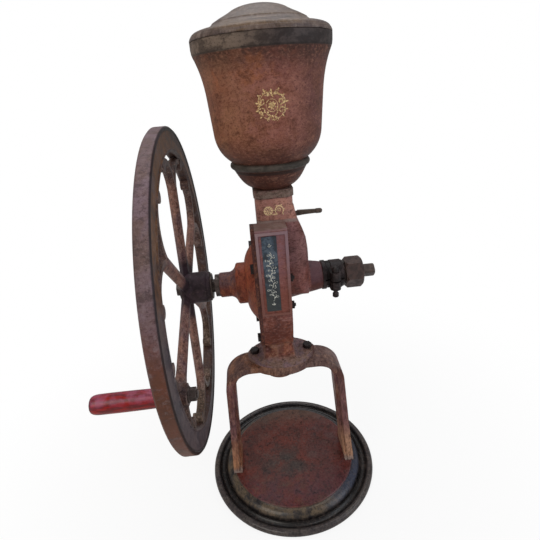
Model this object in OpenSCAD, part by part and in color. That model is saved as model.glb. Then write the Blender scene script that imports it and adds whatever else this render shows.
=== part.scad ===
// Hand crank coffee grinder: cast stand, grinding chamber, hopper and one flywheel.
// Millimetres. X runs along the shaft, the flywheel is at -X, -Y is the front, +Z is up.
// The origin is the centre of the foot, on the surface that it stands on.

/* [Foot] */
// Radius of the round foot over its lip
foot_r = 150; // [135:1:180]
// Height of the rounded lip around the foot
lip_h = 13.5; // [12:0.5:14.5]
// Radius of the raised plateau on the foot
plateau_r = 112; // [108:1:116]
// Height of the plateau above the table
plateau_h = 23; // [21:0.5:28]
// Thickness of the foot casting under the plateau
foot_wall = 8; // [6:0.5:10]

/* [Yoke] */
// Outer half span of the legs where they stand on the foot
leg_foot_x = 111; // [108:0.5:112]
// Outer half span of the legs just under the shoulders
leg_top_x = 100; // [98:0.5:104]
// Height of the top of the arch
arch_z = 246; // [225:1:270]
// Offset of the arch along the shaft
arch_x = -3.5; // [-5:0.5:5]
// Outer radius of the two shoulders
shoulder_r = 45; // [32:1:50]
// Thickness of the flat bar of the yoke
bar_t = 11; // [9:0.5:13]
// Depth of the rib inside the flat bar
rib_t = 5; // [4:0.5:7]
// Depth of the yoke from front to back at the arch
bar_w = 46; // [40:1:52]
// Depth of the yoke from front to back at its feet
shoe_w = 66; // [60:1:76]
// Width of the rib
rib_w = 26; // [20:1:30]
// Height above the foot over which the legs flare
flare_h = 130; // [90:5:160]

/* [Saddle] */
// Half depth of the oval saddle and flange, front to back
saddle_b = 36; // [34:1:42]
// Distance from the flange centre to each saddle bolt
saddle_bolt_x = 44; // [40:1:48]
// Radius of the rounded ends of the flange
saddle_end_r = 11.5; // [11:0.5:14]
// Thickness of the flange under the body
flange_t = 11; // [9:0.5:14]
// Height of the saddle pad above the arch
pad_rise = 4; // [2:0.5:6]
// Radius of the saddle bolts
saddle_bolt_r = 4; // [3.5:0.5:4.5]

/* [Body] */
// Height of the shaft axis
shaft_z = 391; // [385:1:400]
// Left face of the chamber casting
slab_x0 = -31; // [-34:0.5:-30]
// Right face of the chamber casting
slab_x1 = 12.5; // [12:0.5:14]
// Half depth of the chamber casting, front to back
slab_y = 61; // [60:0.5:66]
// Height of the chamber casting above the shaft
slab_up = 100.5; // [98:0.5:102]
// Radius of its upper front edge
slab_corner_r = 3; // [2:0.5:5]
// Radius of the chamber
chamber_r = 55; // [54:0.5:56]
// Width of the neck along the shaft
neck_w = 52; // [51:0.5:56]
// Depth of the neck, front to back
neck_d = 54; // [52:0.5:58]
// Offset of the neck axis along the shaft
neck_x = 0.5; // [-1:0.5:2]
// Height of the top of the neck above the shaft
neck_up = 144; // [140:0.5:150]
// Radius of the bore of the neck
neck_bore = 20; // [18:0.5:21]
// Right wall of the feed casing
feed_x = 44.5; // [44:0.5:46]
// Half depth of the feed casing
feed_y = 36; // [33:0.5:37]
// Radius of the right bearing tube
tube_r = 20; // [19:0.5:21]
// Radius of the split clamp at its end
clamp_r = 21.5; // [20.5:0.5:22.5]
// Right end of the split clamp
clamp_x = 98; // [94:1:100]

/* [Cover] */
// Thickness of the cover flange
cover_t = 5.5; // [4.5:0.5:7]
// Radius of the dome where it leaves the flange
dome_r = 58; // [56:1:60]
// Radius of the step ring
ring_r = 31.5; // [29:0.5:34]
// Length of the left bearing tube beyond the ring
nose_l = 25; // [22:1:27]
// Radius of the left bearing tube
nose_r = 19; // [18:0.5:20]
// Radius of the cover bolts
cover_bolt_r = 4; // [3:0.5:4.5]

/* [Hopper] */
// Outer radius of the hopper rim
rim_r = 86; // [80:0.5:92]
// Height of the hopper above the neck
hopper_h = 179.5; // [165:0.5:195]
// Height of the rim band
rim_band = 15.5; // [12:0.5:18]
// Wall of the hopper
hopper_wall = 3.5; // [3:0.25:4.5]
// Height of the lid above the rim
lid_h = 36; // [32:1:44]

/* [Shaft] */
// Radius of the main shaft
shaft_r = 10; // [9:0.25:10.5]
// Width across the flats of the squared shaft ends
square_af = 16; // [15:0.5:17]
// Right end of the shaft
shaft_x1 = 148; // [145:1:160]
// Radial running clearance of the shaft and the grip
run_gap = 0.05; // [0.02:0.01:0.1]

/* [Adjuster] */
// Outer radius of the threaded adjusting sleeve
sleeve_r = 15; // [14.5:0.25:16]
// Width across the flats of its hexagon
sleeve_af = 42; // [40:0.5:46]
// Length of the hexagon
hex_l = 26; // [24:1:30]

/* [Burrs] */
// Outer radius of the fixed burr
fixed_burr_r = 54; // [53:0.5:54.5]
// Outer radius of the rotating burr
turning_burr_r = 46; // [43:0.5:47]
// Thickness of each burr
burr_t = 9; // [8:0.5:10]
// Gap between the burrs as set
burr_gap = 1.2; // [1:0.1:1.6]
// Number of grooves in each burr
groove_n = 24; // [16:1:30]

/* [Flywheel] */
// Outer radius of the flywheel
wheel_r = 234; // [215:1:250]
// Radial width of the rim
rim_w = 34; // [28:1:38]
// Thickness of the rim along the shaft
rim_t = 18; // [14:0.5:22]
// Middle plane of the rim
wheel_x = -141; // [-144:0.5:-139]
// Number of spokes
spoke_n = 6; // [5:1:7]
// Angle of the crank spoke below the front
crank_tilt = 21; // [0:1:60]
// Radius at which the spokes fork
fork_r = 138; // [132:1:144]
// Half angle between the ends of a fork
fork_spread = 20; // [17:0.5:22]
// Radius of the hub
hub_r = 23.5; // [22:0.5:26]
// Right end of the hub
hub_x1 = -104; // [-106:0.5:-103]
// Radius at which the crank spindle stands
crank_r = 177; // [172:1:182]

/* [Grip] */
// Largest radius of the wooden grip
grip_r = 12.3; // [11:0.1:15]
// Length of the wooden grip
grip_l = 95.5; // [80:0.5:110]
// Radius of the spindle
spindle_r = 5; // [4:0.25:6]

/* [Gate] */
// Height of the gate plate above the shaft
gate_up = 102.5; // [101:0.5:106]
// Thickness of the gate plate
gate_t = 3; // [2:0.25:4]
// Length of the gate rod outside the neck
gate_rod_l = 37.5; // [30:0.5:45]

/* [Hidden] */
$fn = 96;

seat_gap = 0.2;
eps = 0.01;
cut = 1;

// Foot
lip_r = 6;
lip_foot_in = 8;
band_r = 16;
groove_floor = 5;
foot_ring_in = plateau_r + 6;

// Yoke
shoulder_z = arch_z - shoulder_r;
leg_tuck = 0.02;
shoulder_x = leg_top_x - shoulder_r;
yoke_t = bar_t + rib_t;
shoe_screw_x = leg_foot_x - yoke_t / 2 - 0.5;
shoe_screw_y = 22;
shoe_screw_r = 4;
shoe_screw_depth = 14;
screw_clear = 0.3;
saddle_z = arch_z + pad_rise;
flange_z = saddle_z + flange_t;
flange_x = -5;
spout_z = saddle_z - 27;
spout_r = 25;
spout_root_r = 29;
saddle_bolt_af = 3.25 * saddle_bolt_r;
saddle_head_h = 6.5;

// Body
slab_mid_x = (slab_x0 + slab_x1) / 2;
slab_top = shaft_z + slab_up;
slab_ledge_y = -27;
slab_back_z = shaft_z + 39;
slab_low = shaft_z - 36;
stem_shoulder_z = shaft_z - 91;
stem_shoulder_y = 40;
stem_y = 30;
skirt_w = 8;
skirt_h = 26;
chute_x0 = slab_x0 + 6;
chute_x1 = slab_x1 - 8;
chute_y = 15;
chamber_wall = 5;
chamber_x1 = slab_x1 - chamber_wall;
feed_wall = 5;
worm_gap = 1.5;
worm_r = 20;
worm_bore = worm_r + worm_gap;
tube_x1 = 65;
tube_root_r = 30.5;
ring1_x1 = tube_x1 + 7.4;
ring2_x0 = ring1_x1 + 6;
feed_drop = 22;
feed_corner = 20;
clamp_slot = 2.4;
ear_x = 83;
ear_w = 18;
ear_y = -25;
ear_r = 8;
ear_h = 14;
pinch_r = 3.5;
bolt_gap = 0.3;
cover_bolt_upper = [48, shaft_z + 42];
cover_bolt_lower = [30, shaft_z - 82];
cover_bolt_l = 22;
cover_bolt_head = 4.5;
cover_spot_r = 8.5;
burr_bolt_y = 45;
burr_bolt_z = 22;
burr_bolt_r = 2.5;
burr_bolt_head_r = 3.2;
panel_z0 = shaft_z - 28;
panel_z1 = slab_top - slab_corner_r;
panel_edge = 4;
panel_rise = 1.5;
label_x0 = slab_x0 + 8;
label_z0 = panel_z0 + panel_edge + 4;
label_w = 20;
label_h = 112;
label_t = 0.6;
neck_top = shaft_z + neck_up;
neck_corner = 12;
neck_ring_h = 11;
neck_ring_w = 1.5;
neck_ring_y = neck_d / 2 + neck_ring_w;
gate_z = shaft_z + gate_up;
hopper_screw_r = 2.5;
spigot_r = neck_bore + 3.5;
spigot_l = 9;

// Cover
cover_x0 = slab_x0 - cover_t;
ring_x1 = cover_x0 - 13.5;
ring_x0 = ring_x1 - 15;
nose_x0 = ring_x0 - nose_l;
bush_r = shaft_r + 4;
bush_flange_t = 6.7;
nose_fillet = 9;

// Shaft stations
left_square_x1 = hub_x1;
hub_x0 = wheel_x - rim_t / 2 + 2;
thread_r = 6;
end_washer_t = 2;
hub_nut_h = 5.5;
hub_nut_af = 19;
shaft_x0 = hub_x0 - end_washer_t - hub_nut_h - 1;
square_turn = 40;
hex_turn = -25;
right_square_x0 = clamp_x + 4 + hex_l;
hex_x0 = clamp_x + 4;
hex_x1 = hex_x0 + hex_l;
sleeve_x0 = feed_x + 3;
pocket_l = 12;
pocket_r = shaft_r + 4.5;
washer_t = 2.6;

// Burr stations: the fixed burr stands on the right wall of the chamber
fixed_x1 = chamber_x1;
fixed_x0 = fixed_x1 - burr_t;
turn_x1 = fixed_x0 - burr_gap;
turn_x0 = turn_x1 - burr_t;
carrier_t = 8;
carrier_x0 = turn_x0 - carrier_t;
burr_eye = 24;
groove_d = 3;
burr_screw_at = 32;
burr_screw_r = 2.5;
worm_x0 = turn_x1 + 1;
worm_x1 = feed_x - feed_wall - 2;

// Hopper
rim_z = neck_top + hopper_h;
funnel_r = 26;
bead_r = 4.5;
bead_z = neck_top + 33;
bead_in = 49.5;
bowl_r = rim_r - 15.5;
bowl_z = neck_top + 71;
wall_z = rim_z - rim_band - 45;
wall_r = rim_r - 12;
lid_gap = 0.4;
lid_lip = 8.5;

// Flywheel
rim_in = wheel_r - rim_w;
crank_angle = -crank_tilt;
spoke_t = 14;
spoke_w0 = 23;
spoke_w1 = 18;
hub_web_x0 = -4.6;
hub_web_x1 = 8.6;
arm_w = 13;
boss_r = 14;
knuckle_r = 8;
fork_end = rim_in - 3;
fork_u = fork_end * cos(fork_spread) - fork_r;
fork_v = fork_end * sin(fork_spread);
fork_bend = (fork_u * fork_u + fork_v * fork_v) / (2 * fork_v);
fork_sweep = 90 + atan2(fork_v - fork_bend, fork_u);
crank_y = -crank_r * cos(crank_angle);
crank_z = shaft_z + crank_r * sin(crank_angle);
boss_x0 = wheel_x - spoke_t / 2;
boss_x1 = wheel_x + spoke_t / 2 + 3;
spindle_collar_t = 4;
grip_x1 = boss_x0 - spindle_collar_t - 0.5;
grip_x0 = grip_x1 - grip_l;
spindle_head_t = 2.5;
spindle_head_r = 7;
spindle_collar_r = 9;
spindle_recess = 3.3;
spindle_nut_af = 15;
spindle_nut_h = 8;
spindle_washer_t = 2;

// ---- helpers ----

function arc_points(c, r, a0, a1, n = 8) =
    [for (i = [0:n]) c + r * [cos(a0 + (a1 - a0) * i / n), sin(a0 + (a1 - a0) * i / n)]];

function curve(p0, p1, p2, n = 10) =
    [for (i = [0:n]) let (t = i / n) (1 - t) * (1 - t) * p0 + 2 * t * (1 - t) * p1 + t * t * p2];

function inward(points, t) = [for (i = [len(points) - 1:-1:0]) points[i] - [t, 0]];

module rod_x(r, x0, x1) {
    translate([x0, 0, 0]) rotate([0, 90, 0]) cylinder(r = r, h = x1 - x0);
}

module turned_x() {
    rotate([0, 90, 0]) rotate_extrude() children();
}

module hex_x(af, x0, x1, turn = 0) {
    translate([x0, 0, 0])
        rotate([turn, 0, 0])
            rotate([0, 90, 0]) cylinder(r = af / sqrt(3), h = x1 - x0, $fn = 6);
}

module hex_z(af, z0, z1) {
    translate([0, 0, z0]) cylinder(r = af / sqrt(3), h = z1 - z0, $fn = 6);
}

// An outline in Y and Z, extruded along X
module side_plate(x0, x1) {
    translate([x0, 0, 0]) rotate([90, 0, 90]) linear_extrude(x1 - x0) children();
}

// An outline in X and Z, extruded along Y about the middle
module front_plate(w) {
    rotate([90, 0, 0]) linear_extrude(w, center = true) children();
}

// An oval whose long sides and ends are arcs that meet smoothly
module oval(half_b, end_x, end_r) {
    side_r = (end_x * end_x + half_b * half_b - end_r * end_r) / (2 * (half_b - end_r));
    meet_x = end_x * side_r / (side_r - end_r);
    intersection() {
        translate([0, half_b - side_r]) circle(r = side_r);
        translate([0, side_r - half_b]) circle(r = side_r);
        square([2 * meet_x, 2 * half_b + 2], center = true);
    }
    for (s = [-1, 1]) translate([s * end_x, 0]) circle(r = end_r);
}

// ---- foot and yoke ----

module foot() {
    band_c = [plateau_r - 1.5, plateau_h - 2.5 - band_r];
    lip_c = [foot_r - lip_r, lip_h - lip_r];
    groove_c = [(band_c.x + band_r + lip_c.x - lip_r) / 2 + 0.5, groove_floor + 6];
    profile = concat(
        [[0, plateau_h]],
        arc_points([plateau_r - 2, plateau_h - 2], 2, 90, 0, 4),
        arc_points(band_c, band_r, 80, 8, 10),
        arc_points(groove_c, 6, 205, 325, 8),
        arc_points(lip_c, lip_r, 150, -60, 14),
        [[foot_r - lip_foot_in, 1.8], [foot_r - lip_foot_in, 0], [foot_ring_in, 0]],
        arc_points([plateau_r + 1 - 3, plateau_h - foot_wall - 3], 3, 0, 90, 4),
        [[0, plateau_h - foot_wall]]
    );
    color([0.13, 0.11, 0.12])
    difference() {
        rotate_extrude() polygon(profile);
        for (sx = [-1, 1], sy = [-1, 1])
            translate([sx * shoe_screw_x, sy * shoe_screw_y, 0])
                cylinder(r = shoe_screw_r + screw_clear, h = plateau_h + cut);
    }
}

// Where a line from p touches the outer side of a circle of radius r about c
function touch_point(c, p, r) =
    let (d = norm(c - p), a = atan2(c.y - p.y, c.x - p.x) - asin(r / d))
    p + sqrt(d * d - r * r) * [cos(a), sin(a)];

// Everything under the arch, moved inward by t
module portal(t) {
    r = shoulder_r - t;
    shoe = [leg_foot_x - t, plateau_h];
    right = [shoulder_x + arch_x, shoulder_z];
    left = [shoulder_x - arch_x, shoulder_z];
    right_side = touch_point(right, shoe, r - leg_tuck);
    left_side = touch_point(left, shoe, r - leg_tuck);
    translate(right) circle(r = r);
    translate([-left.x, left.y]) circle(r = r);
    polygon([
        [-shoe.x, shoe.y], [shoe.x, shoe.y], right_side, [right.x, right.y + r],
        [-left.x, left.y + r], [-left_side.x, left_side.y]
    ]);
}

module portal_bar(t) {
    difference() {
        portal(0);
        difference() {
            portal(t);
            translate([0, plateau_h - cut]) square([4 * t, cut], center = true);
        }
    }
}

// Half width of a leg at height z above its shoe, from w0 at the top to w1 at the shoe
function flared(z, w0, w1, h) = z > h ? w0 : w0 + (w1 - w0) * pow(1 - z / h, 3);

module leg_side(w0, w1, h) {
    steps = 12;
    polygon(concat(
        [for (i = [0:steps]) [flared(h * i / steps, w0, w1, h), plateau_h + h * i / steps]],
        [[w0, arch_z + cut], [-w0, arch_z + cut]],
        [for (i = [steps:-1:0]) [-flared(h * i / steps, w0, w1, h), plateau_h + h * i / steps]]
    ));
}

module yoke() {
    span = leg_foot_x + cut;
    color([0.33, 0.2, 0.15])
    difference() {
        union() {
            intersection() {
                front_plate(shoe_w) portal_bar(bar_t);
                side_plate(-span, span) leg_side(bar_w / 2, shoe_w / 2, flare_h);
            }
            intersection() {
                front_plate(shoe_w) portal_bar(yoke_t);
                side_plate(-span, span) leg_side(rib_w / 2, shoe_w / 2, flare_h / 2);
            }
            translate([flange_x, 0, arch_z - bar_t])
                linear_extrude(saddle_z - arch_z + bar_t) oval(saddle_b, saddle_bolt_x, saddle_end_r);
            translate([slab_mid_x, 0, spout_z])
                cylinder(r1 = spout_r, r2 = spout_root_r, h = arch_z - yoke_t + 6 - spout_z);
        }
        translate([chute_x0, -chute_y, spout_z - cut])
            cube([chute_x1 - chute_x0, 2 * chute_y, saddle_z - spout_z + 2 * cut]);
        for (s = [-1, 1]) {
            translate([flange_x + s * saddle_bolt_x, 0, spout_z])
                cylinder(r = saddle_bolt_r + bolt_gap, h = saddle_z - spout_z + cut);
            for (sy = [-1, 1])
                translate([s * shoe_screw_x, sy * shoe_screw_y, plateau_h - cut])
                    cylinder(r = shoe_screw_r + screw_clear, h = shoe_screw_depth + cut);
        }
    }
}

module yoke_screws() {
    head_h = 5;
    under = plateau_h - foot_wall;
    color([0.2, 0.2, 0.2])
    for (sx = [-1, 1], sy = [-1, 1])
        translate([sx * shoe_screw_x, sy * shoe_screw_y, 0]) {
            translate([0, 0, under - head_h]) cylinder(r = 6.5, h = head_h);
            translate([0, 0, under - eps])
                cylinder(r = shoe_screw_r, h = foot_wall + shoe_screw_depth - 1 + eps);
        }
}

// ---- body ----

// Outline of the chamber casting, seen along the shaft
module slab_outline() {
    front_top = [slab_corner_r - slab_y, slab_top - slab_corner_r];
    polygon(concat(
        [[-slab_y, slab_low]],
        arc_points(front_top, slab_corner_r, 180, 90, 6),
        curve([slab_ledge_y, slab_top], [5, slab_top - 7], [slab_y, slab_back_z]),
        curve([slab_y, slab_low], [slab_y - 4, slab_low - 30], [stem_shoulder_y, stem_shoulder_z]),
        curve([-stem_shoulder_y, stem_shoulder_z], [-slab_y + 4, slab_low - 30], [-slab_y, slab_low])
    ));
}

// A rectangle about the origin with rounded corners
module rounded(half_x, half_y, corner) {
    square([2 * (half_x - corner), 2 * half_y], center = true);
    square([2 * half_x, 2 * (half_y - corner)], center = true);
    for (sx = [-1, 1], sy = [-1, 1])
        translate([sx * (half_x - corner), sy * (half_y - corner)]) circle(r = corner);
}

// The hollow stem, which flares into the flange
module stem() {
    corner = 14;
    half = (slab_x1 - slab_x0) / 2;
    z1 = stem_shoulder_z + 12;
    translate([slab_mid_x, 0, flange_z - 1])
        linear_extrude(z1 - flange_z + 1) rounded(half, stem_y, corner);
    intersection() {
        front_plate(2 * saddle_b)
            translate([slab_mid_x, 0]) skirt(half - eps);
        side_plate(slab_x0 - skirt_w, slab_x1 + skirt_w)
            skirt(stem_y - 3);
        translate([flange_x, 0, flange_z - 1])
            linear_extrude(skirt_h + 1) oval(saddle_b, saddle_bolt_x, saddle_end_r);
    }
}

// A strip of half width w that flares out towards the flange
module skirt(w) {
    top = [w, flange_z + skirt_h];
    low = [w + skirt_w, flange_z + 1];
    right = curve(low, [w, flange_z + 4], top);
    left = curve([-top.x, top.y], [-w, flange_z + 4], [-low.x, low.y]);
    polygon(concat([[low.x, flange_z - 1]], right, left, [[-low.x, flange_z - 1]]));
}

// Outline of the feed casing, seen from the front
module feed_outline() {
    side = neck_x + neck_w / 2;
    polygon([
        [0, shaft_z - feed_drop - cut], [feed_x - 10, shaft_z - feed_drop - cut],
        [feed_x, shaft_z - feed_drop + 8], [feed_x, shaft_z + 38], [feed_x - 1.3, shaft_z + 57],
        [feed_x - 4, shaft_z + 75], [feed_x - 8.5, shaft_z + 89], [side + 5, shaft_z + 99],
        [side + 2, shaft_z + 110], [side, shaft_z + 122], [0, shaft_z + 122]
    ]);
}

// Half outline of the feed casing, seen along the shaft, with its low side rounded
function feed_half() = concat(
    curve([0, shaft_z - feed_drop], [feed_y - 1, shaft_z - feed_drop], [feed_y, shaft_z + 2]),
    [[feed_y, shaft_z + 62], [neck_d / 2 - 1, gate_z + 3], [neck_d / 2 - 1, neck_top], [0, neck_top]]
);

module feed_casing() {
    depth = 2 * feed_y;
    intersection() {
        front_plate(depth) feed_outline();
        linear_extrude(neck_top) {
            translate([0, -feed_y]) square([feed_x - feed_corner, depth]);
            translate([0, -feed_y + feed_corner]) square([feed_x, depth - 2 * feed_corner]);
            for (s = [-1, 1])
                translate([feed_x - feed_corner, s * (feed_y - feed_corner)]) circle(r = feed_corner);
        }
        side_plate(-cut, feed_x + cut)
            for (m = [0, 1]) mirror([m, 0]) polygon(feed_half());
    }
}

// The conical root of the right bearing tube
module tube_root() {
    translate([0, 0, shaft_z])
        turned_x() polygon([
            [0, slab_x1 - cut], [tube_root_r, slab_x1 - cut], [tube_r + 2, tube_x1 - 4],
            [tube_r + 1, tube_x1 + eps], [0, tube_x1 + eps]
        ]);
}

// The way of the beans: from the neck, past the gate, down to the feed screw
module feed_way() {
    width = 2 * neck_bore - 6;
    floor_z = shaft_z + chamber_r + 6;
    front_plate(width)
        polygon([
            [neck_x - neck_bore + 4, gate_z + 1], [neck_x + neck_bore - 1, gate_z + 1],
            [feed_x - feed_wall - 5, shaft_z + 70], [feed_x - feed_wall, shaft_z],
            [slab_x1 + 3, shaft_z], [slab_x1 + 3, floor_z - 10], [neck_x - neck_bore + 4, floor_z + 20]
        ]);
    translate([neck_x, 0, gate_z]) cylinder(r = neck_bore, h = neck_top - gate_z + cut);
    translate([neck_x, 0, neck_top - spigot_l - 1]) cylinder(r = spigot_r + seat_gap, h = spigot_l + 2);
    translate([0, 0, shaft_z]) rod_x(worm_bore, chamber_x1 - cut, feed_x - feed_wall);
}

// The slot that the gate slides in
module gate_slot() {
    half = neck_bore + 1.3;
    translate([neck_x, 0, gate_z - gate_t / 2 - 0.3])
        linear_extrude(gate_t + 0.6) {
            circle(r = half);
            translate([0, -half]) square([feed_x, 2 * half]);
        }
}

module split_clamp() {
    translate([0, 0, shaft_z])
        turned_x() polygon([
            [0, tube_x1], [clamp_r, tube_x1], [clamp_r + 1, tube_x1 + 1], [clamp_r + 1, ring1_x1 - 1],
            [clamp_r - 0.5, ring1_x1], [clamp_r - 0.5, ring2_x0], [clamp_r + 0.5, ring2_x0 + 1],
            [clamp_r + 0.5, clamp_x - 2.5], [clamp_r - 0.8, clamp_x - 1.5], [clamp_r - 0.8, clamp_x], [0,
                clamp_x]
        ]);
    translate([ear_x, ear_y, shaft_z - ear_h]) cylinder(r = ear_r, h = 2 * ear_h);
    translate([ear_x - ear_r, ear_y, shaft_z - ear_h]) cube([2 * ear_r, -ear_y, 2 * ear_h]);
}

module front_panel() {
    translate([slab_x0, -slab_y - panel_rise, panel_z0])
    difference() {
        cube([slab_x1 - slab_x0, panel_rise + cut, panel_z1 - panel_z0]);
        translate([panel_edge, -cut, panel_edge])
            cube([slab_x1 - slab_x0 - 2 * panel_edge, panel_rise + cut,
                panel_z1 - panel_z0 - 2 * panel_edge]);
    }
}

module neck() {
    low_z = shaft_z + chamber_r + 8;
    ring_z = neck_top - neck_ring_h;
    translate([neck_x, 0, 0]) {
        translate([0, 0, low_z])
            linear_extrude(neck_top - low_z) rounded(neck_w / 2, neck_d / 2, neck_corner);
        translate([0, 0, ring_z])
            linear_extrude(neck_ring_h) rounded(neck_w / 2 + 0.7, neck_d / 2 + 0.7, neck_corner);
        translate([0, 0, ring_z + 1])
            linear_extrude(neck_ring_h - 2)
                rounded(neck_w / 2 + neck_ring_w, neck_ring_y, neck_corner);
    }
}

module mill_body() {
    color([0.42, 0.18, 0.13])
    difference() {
        union() {
            side_plate(slab_x0, slab_x1) slab_outline();
            stem();
            front_panel();
            translate([flange_x, 0, saddle_z]) linear_extrude(flange_t) oval(saddle_b, saddle_bolt_x,
                saddle_end_r);
            neck();
            feed_casing();
            tube_root();
            split_clamp();
        }
        translate([0, 0, shaft_z]) rod_x(chamber_r, slab_x0 - cut, chamber_x1);
        translate([chute_x0, -chute_y, saddle_z - cut])
            cube([chute_x1 - chute_x0, 2 * chute_y, shaft_z - chamber_r + 14 - saddle_z]);
        feed_way();
        gate_slot();
        translate([0, 0, shaft_z]) rod_x(sleeve_r + run_gap, feed_x - feed_wall - cut, clamp_x + cut);
        translate([tube_x1 + 4, ear_y - ear_r - cut, shaft_z - clamp_slot / 2])
            cube([clamp_x - tube_x1, -ear_y, clamp_slot]);
        translate([ear_x, ear_y, shaft_z - ear_h - cut]) cylinder(r = pinch_r + bolt_gap,
            h = 2 * ear_h + 2 * cut);
        for (s = [-1, 1])
            translate([flange_x + s * saddle_bolt_x, 0, saddle_z - cut])
                cylinder(r = saddle_bolt_r + bolt_gap, h = flange_t + 2 * cut);
        at_cover_bolts() rod_x(cover_bolt_r + bolt_gap, slab_x0 - cut, slab_x0 + cover_bolt_l + 2);
        at_burr_bolts() rod_x(burr_bolt_r + bolt_gap, chamber_x1 - cut, slab_x1 + cut);
        hopper_screw_hole();
    }
}

module hopper_screw_hole() {
    translate([neck_x, neck_ring_y + cut, neck_top - neck_ring_h / 2])
        rotate([90, 0, 0]) cylinder(r = hopper_screw_r + bolt_gap, h = neck_ring_y - neck_bore + 3);
}

module at_cover_bolts() {
    for (p = [cover_bolt_upper, cover_bolt_lower], s = [-1, 1]) translate([0, s * p[0], p[1]]) children();
}

module at_burr_bolts() {
    for (sy = [-1, 1], sz = [-1, 1])
        translate([0, sy * burr_bolt_y, shaft_z + sz * burr_bolt_z]) children();
}

module saddle_bolts() {
    low_z = arch_z - yoke_t - saddle_head_h - 3;
    color([0.16, 0.14, 0.14])
    for (s = [-1, 1])
        translate([flange_x + s * saddle_bolt_x, 0, 0]) {
            hex_z(saddle_bolt_af, flange_z, flange_z + saddle_head_h);
            translate([0, 0, low_z]) cylinder(r = saddle_bolt_r, h = flange_z - low_z + eps);
        }
}

module saddle_nuts() {
    under = arch_z - yoke_t;
    color([0.16, 0.14, 0.14])
    for (s = [-1, 1])
        translate([flange_x + s * saddle_bolt_x, 0, under - saddle_head_h])
            difference() {
                hex_z(saddle_bolt_af, 0, saddle_head_h);
                translate([0, 0, -cut]) cylinder(r = saddle_bolt_r, h = saddle_head_h + 2 * cut);
            }
}

module chamber_cover() {
    wall = 6;
    dome = concat(
        [[shaft_r + 6, cover_x0 + eps], [dome_r, cover_x0 + eps]],
        curve([dome_r, cover_x0], [dome_r - 11.5, cover_x0 - 11], [ring_r + 2, ring_x1]),
        [[ring_r, ring_x1], [ring_r, ring_x0 + 3], [ring_r - 2, ring_x0 + 1]],
        curve([ring_r - 5, ring_x0], [nose_r + 1.5, ring_x0 - 2.5], [nose_r, ring_x0 - nose_fillet], 6),
        [[nose_r, nose_x0 + 1], [nose_r - 1, nose_x0], [shaft_r, nose_x0]]
    );
    color([0.5, 0.2, 0.1])
    difference() {
        union() {
            side_plate(cover_x0, slab_x0) slab_outline();
            translate([0, 0, shaft_z]) turned_x() polygon(dome);
        }
        translate([0, 0, shaft_z]) {
            turned_x() polygon(concat(
                [[0, slab_x0 + cut], [dome_r - wall, slab_x0 + cut], [dome_r - wall, slab_x0 - 1]],
                curve([dome_r - wall, slab_x0 - 1], [dome_r - wall - 12, cover_x0 - 5], [ring_r - wall,
                    ring_x1]),
                [[ring_r - wall, ring_x1 - 4], [0, ring_x1 - 4]]
            ));
            rod_x(bush_r, nose_x0 - cut, ring_x1);
        }
        at_cover_bolts() rod_x(cover_bolt_r + bolt_gap, cover_x0 - 20, slab_x0 + cut);
        at_cover_bolts() rod_x(cover_spot_r, cover_x0 - 20, cover_x0);
    }
}

module cover_bolts() {
    color([0.15, 0.13, 0.13])
    at_cover_bolts() {
        hex_x(3.25 * cover_bolt_r, cover_x0 - cover_bolt_head, cover_x0);
        rod_x(cover_bolt_r, cover_x0 - eps, slab_x0 + cover_bolt_l);
    }
}

module label_plate() {
    color([0.1, 0.13, 0.15])
    translate([label_x0, -slab_y - label_t, label_z0])
        cube([label_w, label_t, label_h]);
}

// ---- hopper and gate ----

module hopper() {
    bowl = concat(
        [[funnel_r, neck_top]],
        curve([funnel_r, neck_top + 1.5], [funnel_r + 12, neck_top + 5], [bead_in - 3, bead_z - 11]),
        arc_points([bead_in, bead_z], bead_r, -80, 80, 8),
        curve([bead_in + 1.5, bead_z + bead_r + 0.5], [bowl_r - 2.5, bead_z + 17], [bowl_r, bowl_z]),
        curve([wall_r, wall_z], [wall_r + 2, wall_z + 26], [rim_r - 1.5, rim_z - rim_band])
    );
    inside = concat(
        [[wall_r - hopper_wall + 7.5, rim_z - rim_band]],
        inward(curve([wall_r, wall_z], [wall_r + 2, wall_z + 26], [wall_r + 7, rim_z - rim_band - 6], 6),
            hopper_wall),
        inward(curve([bead_in - 2, bead_z + 7], [bowl_r - 4, bead_z + 18], [bowl_r, bowl_z], 8), hopper_wall),
        [[neck_bore, neck_top + 10]]
    );
    rim_in_r = rim_r - hopper_wall - 1;
    color([0.36, 0.2, 0.16])
    translate([neck_x, 0, 0]) difference() {
        rotate_extrude() polygon(concat(
            [[neck_bore, neck_top - spigot_l], [spigot_r, neck_top - spigot_l], [spigot_r, neck_top]],
            bowl,
            [[rim_r - 0.5, rim_z - rim_band + 3], [rim_r, rim_z - rim_band + 7], [rim_r, rim_z - 1]],
            [[rim_r - 1, rim_z], [rim_in_r, rim_z]],
            [[rim_in_r, rim_z - rim_band + 2]],
            inside
        ));
        translate([-neck_x, 0, 0]) hopper_screw_hole();
    }
}

module hopper_screw() {
    color([0.2, 0.18, 0.17])
    translate([neck_x, 0, neck_top - neck_ring_h / 2])
        rotate([-90, 0, 0]) {
            translate([0, 0, neck_bore + 0.5])
                cylinder(r = hopper_screw_r, h = neck_ring_y - neck_bore - 0.5 + eps);
            translate([0, 0, neck_ring_y]) cylinder(r = 1.8 * hopper_screw_r, h = 3);
        }
}

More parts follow.
